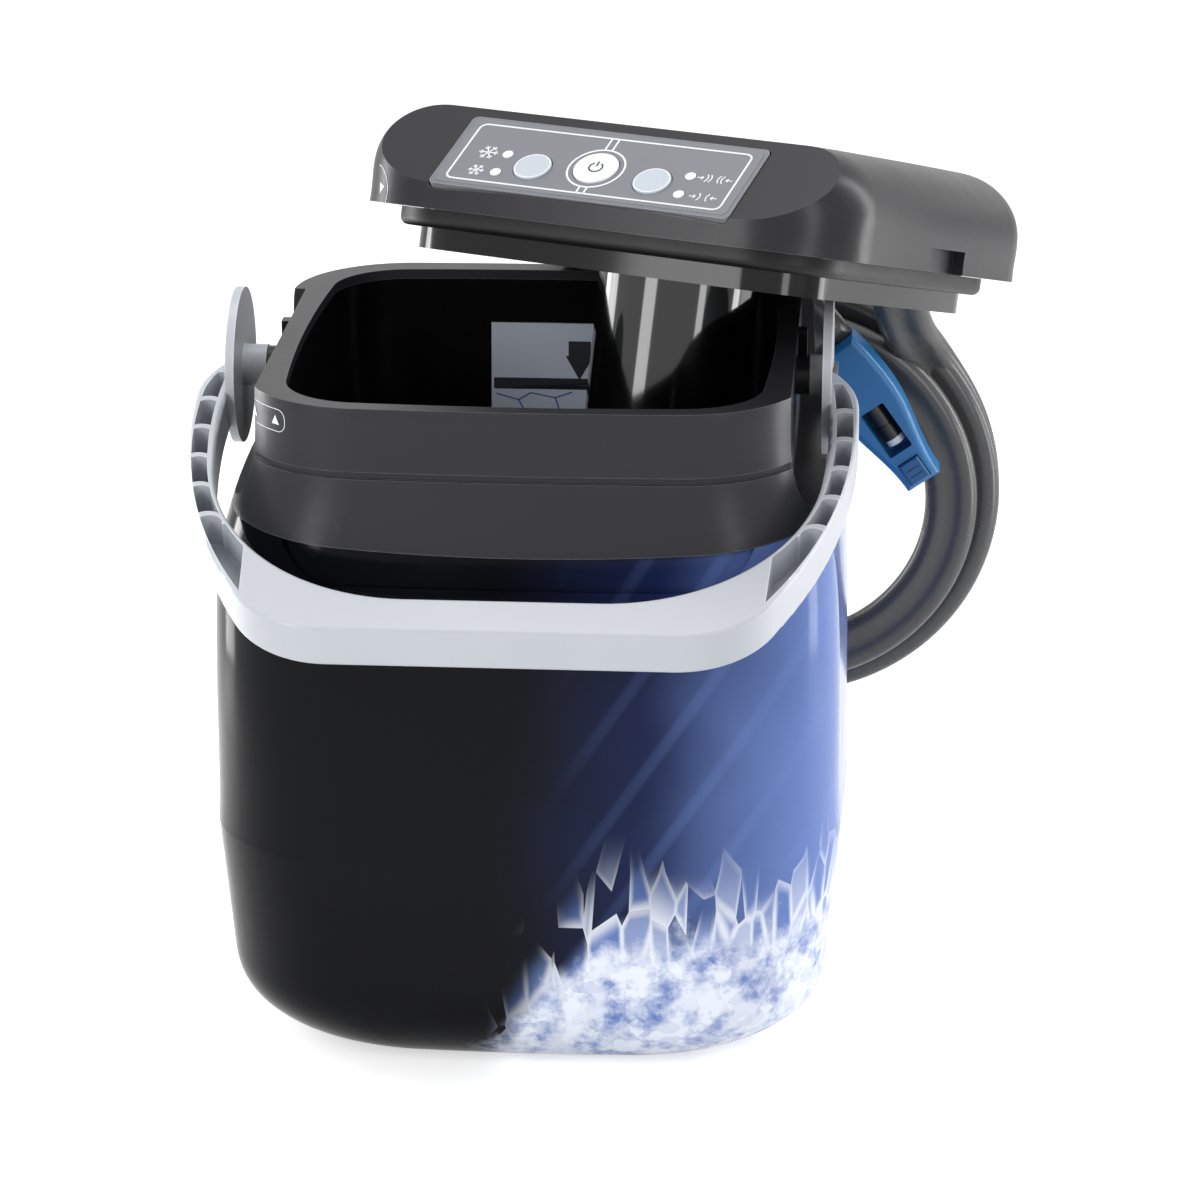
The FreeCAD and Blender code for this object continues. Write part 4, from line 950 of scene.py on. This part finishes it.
def plane(origin: Point, across: Point, up: Point) -> Matrix:
    """Makes the matrix of a drawing plane, in millimetres.

    Args:
        origin: the plane's middle.
        across: the way to the right on it.
        up: the way up on it.

    Returns:
        The matrix, whose third axis points out of the plane.
    """
    right = Vector(across).normalized()
    out = right.cross(Vector(up)).normalized()
    turn = Matrix((right, out.cross(right), out)).transposed().to_4x4()
    return Matrix.Translation(origin) @ turn


class Icon(Enum):
    """The symbols beside the small lamps, with how far their parts reach."""

    COLD = (3.2,)
    COLDER = (4.0,)
    SQUEEZE = (2.1,)
    SQUEEZE_HARD = (2.1, 3.6)


@dataclass
class ControlPanel:
    """What is printed on the control panel and its keys. Sizes are in millimetres."""

    origin: Point = (25.927, -47.844, 342.154)
    across: Point = (0.91636, -0.40035, 0.0)
    up: Point = (0.36135, 0.82710, 0.43051)
    film: float = 0.7
    key_top: float = 1.4
    border: tuple[float, float, float, float] = (114.0, 33.6, 3.2, 0.75)
    power: tuple[float, float] = (0.0, -1.6)
    power_ring: tuple[float, float] = (11.4, 0.75)
    soft_keys: tuple[tuple[str, str, float, float], ...] = (
        ("cold_key_ring", "cold_key", -24.8, -5.2),
        ("compression_key_ring", "compression_key", 24.8, -5.2),
    )
    key_ring: tuple[float, float] = (7.0, 0.45)
    power_sign: tuple[float, float] = (2.6, 0.6)
    divider: float = 1.5
    ring_overlap: float = 0.2
    border_overlap: float = 0.3
    arm_line: float = 0.5
    twig_line: float = 0.42
    twig_root: float = 0.55
    twig_reach: float = 0.26
    bend: tuple[float, float, float] = (3.4, 0.45, 38.0)
    bend_centre: float = 2.6
    arrow: tuple[float, float, float] = (2.6, 0.95, 0.85)
    arrow_gap: float = 0.9
    arrow_line: float = 0.4
    icons: tuple[tuple[Icon, float, float], ...] = (
        (Icon.COLDER, -46.2, 0.4),
        (Icon.COLD, -46.2, -10.4),
        (Icon.SQUEEZE_HARD, 47.8, 0.4),
        (Icon.SQUEEZE, 47.8, -10.4),
    )

    def place(self) -> Matrix:
        """Returns the panel's matrix."""
        return plane(self.origin, self.across, self.up)

    def draw_flake(self, marks: Relief, middle: Spot, reach: float) -> None:
        """Draws a snow flake.

        Args:
            marks: the relief that it is drawn in.
            middle: its middle.
            reach: how long its six arms are.
        """
        centre = Vector(middle)
        for turn in range(0, 360, 60):
            angle = math.radians(turn)
            tip = Vector((math.cos(angle), math.sin(angle)))
            side = Vector((-tip.y, tip.x))
            marks.bar(centre, centre + tip * reach, self.arm_line)
            root = centre + tip * reach * self.twig_root
            for hand in (-1.0, 1.0):
                twig = root + (tip + side * hand) * reach * self.twig_reach
                marks.bar(root, twig, self.twig_line)

    def draw_squeeze(self, marks: Relief, middle: Spot, rows: Spot) -> None:
        """Draws two arrows that press in on bent lines.

        Args:
            marks: the relief that they are drawn in.
            middle: the point between them.
            rows: how far from it each pair of lines stands.
        """
        x, y = middle
        radius, line, half = self.bend
        tail, barb, rise = self.arrow
        for hand in (-1.0, 1.0):
            away = 180.0 if hand > 0 else 0.0
            for offset in rows:
                centre = (x + hand * (offset + self.bend_centre), y)
                marks.arc(centre, radius, line, away - half, 2.0 * half)
            tip = x + hand * (rows[-1] + self.arrow_gap)
            marks.bar((tip, y), (tip + hand * tail, y), self.arrow_line)
            for side in (-rise, rise):
                marks.bar((tip, y), (tip + hand * barb, y + side), self.arrow_line)

    def film_print(self) -> None:
        """Prints the border, the dividers, the power ring and the symbols."""
        marks = Relief()
        wide, high, corner, line = self.border
        marks.outline((0.0, 0.0), wide, high, corner, line)
        radius, ring_line = self.power_ring
        marks.ring(self.power, radius, ring_line)
        for side in (-1.0, 1.0):
            x = side * self.divider
            near = math.sqrt(radius**2 - x**2) - self.ring_overlap
            far = high / 2 - self.border_overlap
            for end in (1.0, -1.0):
                marks.bar((x, self.power[1] + end * near), (x, end * far), line)
        for icon, x, y in self.icons:
            if icon in (Icon.COLD, Icon.COLDER):
                self.draw_flake(marks, (x, y), icon.value[0])
            else:
                self.draw_squeeze(marks, (x, y), icon.value)
        shape = marks.lay(self.place(), self.film)
        add_piece("panel_print", shape, "print_white", "lid", False)

    def key_prints(self) -> None:
        """Prints the rims of the soft keys and the mark of the power key."""
        for name, body, x, y in self.soft_keys:
            rim = Relief()
            rim.ring((x, y), *self.key_ring)
            shape = rim.lay(self.place(), self.key_top)
            add_piece(name, shape, "print_white", body, False)
        mark = Relief()
        x, y = self.power
        radius, line = self.power_sign
        mark.arc((x, y), radius, line, 122.0, 296.0)
        mark.bar((x, y + 0.6), (x, y + 3.3), line)
        shape = mark.lay(self.place(), self.key_top)
        add_piece("power_mark", shape, "print_dark", "power_key", False)

    def build(self) -> None:
        """Prints the whole panel."""
        self.film_print()
        self.key_prints()


@dataclass
class FittingMarks:
    """The triangles that line up lid and bucket, and the fill plate's drawing.

    Sizes are in millimetres.
    """

    collar_at: Point = (-94.5, -89.0, 256.6)
    collar_across: Point = (0.66, -0.75, 0.0)
    lid_at: Point = (-57.5, -23.5, 327.5)
    lid_across: Point = (0.50, -0.84, -0.16)
    plate_at: Point = (2.0, 96.2, 221.5)
    triangle: float = 2.3
    thin_line: float = 0.22
    crack_line: float = 0.5

    def collar_marks(self) -> None:
        """Marks the bucket's collar with two triangles in a thin rounded frame."""
        marks = Relief()
        for x in (-7.4, 7.4):
            marks.triangle((x, -0.4), self.triangle, 90.0)
        marks.outline((0.0, 0.0), 25.0, 8.6, 3.6, self.thin_line)
        place = plane(self.collar_at, self.collar_across, (0.0, 0.0, 1.0))
        shape = marks.drape(place, "collar")
        add_piece("collar_marks", shape, "print_white", "bucket", False)

    def lid_marks(self) -> None:
        """Marks the lid's edge with a triangle under a thin arch."""
        marks = Relief()
        marks.triangle((0.4, 0.2), self.triangle, -90.0)
        marks.arc((-4.0, -3.6), 10.4, self.thin_line, 0.0, 100.0)
        place = plane(self.lid_at, self.lid_across, (0.0, -0.15, 1.0))
        shape = marks.drape(place, "lid_cover")
        add_piece("lid_marks", shape, "print_white", "lid", False)

    def plate_art(self) -> None:
        """Draws an arrow, a level band and cracked ice on the fill plate."""
        place = plane(self.plate_at, (1.0, 0.0, 0.0), (0.0, 0.057, 1.0))
        dark = Relief()
        dark.slab((6.0, 11.1), 9.0, 6.2, 0.2)
        dark.triangle((6.0, 4.8), 6.6, -90.0)
        dark.slab((0.0, -3.6), 58.0, 4.6, 0.3)
        shape = dark.drape(place, "fill_label", 5)
        add_piece("fill_arrow", shape, "print_dark", "bucket", False)
        ice = Relief()
        cracks = (
            ((-28, -8), (-19, -10.5), (-14, -7.5), (-4, -9.5), (3, -7.0)),
            ((-19, -10.5), (-16, -16), (-21, -20)),
            ((-4, -9.5), (-2, -15), (7, -17.5), (12, -12), (28, -13.5)),
            ((7, -17.5), (9, -21)),
            ((12, -12), (17, -7.5), (28, -8.5)),
            ((-16, -16), (-2, -15)),
        )
        for crack in cracks:
            for start, end in zip(crack, crack[1:]):
                ice.bar(start, end, self.crack_line)
        shape = ice.drape(place, "fill_label", 5)
        add_piece("fill_ice_lines", shape, "print_blue", "bucket", False)

    def build(self) -> None:
        """Adds all the marks."""
        self.collar_marks()
        self.lid_marks()
        self.plate_art()


@dataclass
class TwinHose:
    """The flat twin hose: down from its gland, round its coil and up to its connector.

    Sizes are in millimetres.
    """

    lead: tuple[Point, ...] = (
        (135.1, 127.1, 257.2),
        (139.4, 136.9, 233.5),
        (150.0, 160.0, 214.0),
    )
    tail: tuple[Point, ...] = (
        (34.0, 140.0, 220.0),
        (61.0, 131.0, 249.0),
        (93.4, 127.5, 250.3),
        (109.6, 127.5, 227.5),
    )
    coil_centre: Point = (91.5, 158.0, 155.0)
    coil_start: float = 45.0
    coil_sweep: float = 964.0
    coil_points: int = 16
    outer_turn: float = 80.8
    inner_turn: float = 71.2
    narrows_before_end: float = 1.25
    narrows_over: float = 0.5
    rear: float = 171.0
    first_step: float = 3.0
    pitch: float = 11.0
    width: float = 22.0
    lobe: float = 5.6
    waist: float = 4.2
    spread: float = 0.8
    sides: int = 32

    def route(self) -> list[Vector]:
        """Works out the control points of the hose's spline.

        Returns:
            The points, in metres.
        """
        step = 360.0 / self.coil_points
        turns = self.coil_sweep / 360.0
        count = int(self.coil_sweep / step)
        points = list(self.lead)
        for i in range(1, count + 1):
            done = i * step / 360.0
            angle = math.radians(self.coil_start - i * step)
            past = done - (turns - self.narrows_before_end)
            share = min(1.0, max(0.0, past / self.narrows_over))
            radius = self.outer_turn + (self.inner_turn - self.outer_turn) * share
            drop = self.first_step if i == 1 else self.pitch * done
            x = self.coil_centre[0] + radius * math.cos(angle)
            z = self.coil_centre[2] + radius * math.sin(angle)
            points.append((x, self.rear - drop, z))
        points.extend(self.tail)
        return [Vector(p) * MM for p in points]

    def line(self) -> list[Vector]:
        """Reads the hose's line from a smooth spline through its route.

        Returns:
            The line's points, in metres.
        """
        curve = bpy.data.curves.new("hose_route", "CURVE")
        curve.dimensions = "3D"
        route = self.route()
        spline = curve.splines.new("NURBS")
        spline.points.add(len(route) - 1)
        for control, point in zip(spline.points, route):
            control.co = (*point, 1.0)
        spline.order_u = 3
        spline.use_endpoint_u = True
        spline.resolution_u = 8
        holder = bpy.data.objects.new("hose_route", curve)
        mesh = bpy.data.meshes.new_from_object(holder)
        points = [v.co.copy() for v in mesh.vertices]
        bpy.data.objects.remove(holder)
        bpy.data.curves.remove(curve)
        bpy.data.meshes.remove(mesh)
        return points

    def section(self, turn: float) -> tuple[float, float]:
        """Gives a point of the hose's section, two round lobes and a waist.

        Args:
            turn: the way round the section, from 0 to 1.

        Returns:
            The point across the width and the depth, in millimetres.
        """
        angle = 2.0 * math.pi * turn
        across = math.cos(angle)
        offset = self.width / 2.0 - self.lobe
        along = self.width / 2.0 * math.copysign(abs(across) ** self.spread, across)
        near = min(self.width / 2.0, abs(along)) - offset
        if near >= 0.0:
            thick = math.sqrt(max(0.0, self.lobe**2 - near**2))
        else:
            share = 0.5 + 0.5 * math.cos(math.pi * (near + offset) / offset)
            round_part = math.sqrt(max(0.0, self.lobe**2 - min(self.lobe, -near) ** 2))
            thick = max(round_part, self.waist * share)
        return along, math.copysign(thick, math.sin(angle))

    def build(self) -> bpy.types.Object:
        """Returns:
            The hose's object.
        """
        line = self.line()
        last = len(line) - 1
        shape = bmesh.new()
        bmesh.ops.create_grid(
            shape, x_segments=self.sides, y_segments=last, size=1.0, calc_uvs=True
        )
        frames = []
        for i, point in enumerate(line):
            tangent = (line[min(i + 1, last)] - line[max(i - 1, 0)]).normalized()
            depth = Vector((0.0, 1.0, 0.0))
            depth = (depth - tangent * depth.dot(tangent)).normalized()
            frames.append((point, tangent.cross(depth), depth))
        for vert in shape.verts:
            turn = (vert.co.x + 1.0) / 2.0
            row = round((vert.co.y + 1.0) / 2.0 * last)
            point, wide, depth = frames[row]
            across, thick = self.section(turn)
            vert.co = point + (wide * across + depth * thick) * MM
        bmesh.ops.remove_doubles(shape, verts=shape.verts, dist=WELD)
        bmesh.ops.holes_fill(shape, edges=shape.edges, sides=0)
        bmesh.ops.recalc_face_normals(shape, faces=shape.faces)
        hose = add_piece("twin_hose", shape, "hose", "lid")
        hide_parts("hose_lead", "hose_coil", "hose_tail")
        return hose


def facing(at: Point, back: Vector) -> Matrix:
    """Returns the matrix of a lamp or camera whose back is turned one way."""
    turn = back.to_track_quat("Z", "Y").to_matrix().to_4x4()
    return Matrix.Translation(at) @ turn


@dataclass(frozen=True)
class Lamp:
    """A soft rectangular lamp. Sizes are in metres."""

    name: str
    at: Point
    wide: float
    high: float
    power: float
    aim_height: float = 0.25

    def hang(self) -> None:
        """Hangs the lamp, out of the camera's sight."""
        data = bpy.data.lights.new(self.name, "AREA")
        data.shape = "RECTANGLE"
        data.size, data.size_y = self.wide, self.high
        data.energy = self.power
        lamp = add_object(self.name, data)
        aim = Vector((0.0, 0.0, self.aim_height))
        lamp.matrix_world = facing(self.at, Vector(self.at) - aim)
        lamp.visible_camera = False


@dataclass
class Studio:
    """The camera, the floor, the world and the lamps. Sizes are in metres."""

    camera_at: Point = (0.1387, -1.6323, 0.7143)
    azimuth: float = -4.049
    pitch: float = 18.792
    lens: float = 132.15
    sensor: float = 36.0
    world_light: float = 0.42
    floor_half: float = 9.0
    floor_grey: float = 0.86
    floor_seen: float = 0.55
    floor_mirrored: float = 0.25
    lamps: tuple[Lamp, ...] = (
        Lamp("key_lamp", (-1.05, -1.40, 0.85), 0.6, 1.2, 14.0),
        Lamp("front_lamp", (1.10, -1.30, 0.80), 0.3, 1.1, 6.0),
        Lamp("top_lamp", (0.10, 0.20, 1.90), 1.2, 0.9, 11.0, 0.20),
        Lamp("left_lamp", (-1.10, 0.55, 0.65), 0.3, 1.3, 9.0),
        Lamp("right_lamp", (1.25, 0.50, 0.65), 0.3, 1.3, 9.0),
        Lamp("left_strip", (-0.50, 0.13, 0.16), 0.13, 0.3, 0.8, 0.16),
        Lamp("right_strip", (0.54, 0.06, 0.15), 0.10, 0.26, 0.6, 0.15),
    )

    def camera(self) -> None:
        """Sets the camera."""
        psi, phi = math.radians(self.azimuth), math.radians(self.pitch)
        level = math.cos(phi)
        forward = Vector((math.sin(psi) * level, math.cos(psi) * level, -math.sin(phi)))
        data = bpy.data.cameras.new("camera")
        data.sensor_fit = "HORIZONTAL"
        data.sensor_width = self.sensor
        data.lens = self.lens
        data.clip_end = 50.0
        camera = add_object("camera", data)
        camera.matrix_world = facing(self.camera_at, -forward)
        bpy.context.scene.camera = camera

    def world(self) -> None:
        """Makes a world that is white to look at and softer as a light."""
        world = bpy.data.worlds.new("studio")
        bpy.context.scene.world = world
        world.use_nodes = True
        nodes = Nodes(world.node_tree)
        seen = nodes.seen_by("Is Camera Ray", "Is Glossy Ray", "Is Transmission Ray")
        strength = nodes.fade(seen, 0.0, 1.0, self.world_light, 1.0)
        shader = world.node_tree.nodes["Background"].inputs
        nodes.put(shader["Color"], (1.0, 1.0, 1.0, 1.0))
        nodes.put(shader["Strength"], strength)

    def floor(self) -> None:
        """Lays the pale floor."""
        shape = bmesh.new()
        bmesh.ops.create_grid(shape, x_segments=1, y_segments=1, size=self.floor_half)
        mesh = bpy.data.meshes.new("floor")
        shape.to_mesh(mesh)
        shape.free()
        floor = add_object("floor", mesh)
        made, nodes, shader = start_material("floor_white")
        grey = self.floor_grey
        nodes.put(shader["Base Color"], (grey, grey, grey, 1.0))
        nodes.put(shader["Roughness"], 0.8)
        nodes.put(shader["Specular IOR Level"], 0.1)
        nodes.put(shader["Emission Color"], (1.0, 1.0, 1.0, 1.0))
        mirrored = nodes.seen_by("Is Glossy Ray", "Is Transmission Ray")
        seen = nodes.blend(nodes.seen_by("Is Camera Ray"), self.floor_seen, 0.0)
        glow = nodes.blend(mirrored, self.floor_mirrored, seen)
        nodes.put(shader["Emission Strength"], glow)
        mesh.materials.append(made)

    def build(self) -> None:
        """Sets up the whole studio."""
        self.camera()
        self.world()
        self.floor()
        for lamp in self.lamps:
            lamp.hang()
        bpy.context.scene.view_settings.view_transform = "Standard"


def main() -> None:
    """Builds the studio, dresses the machine and adds its pieces."""
    logging.basicConfig(level=logging.INFO, format="%(name)s: %(message)s")
    Studio().build()
    dress_nodes()
    TwinHose().build()
    ControlPanel().build()
    FittingMarks().build()


if __name__ == "__main__":
    main()
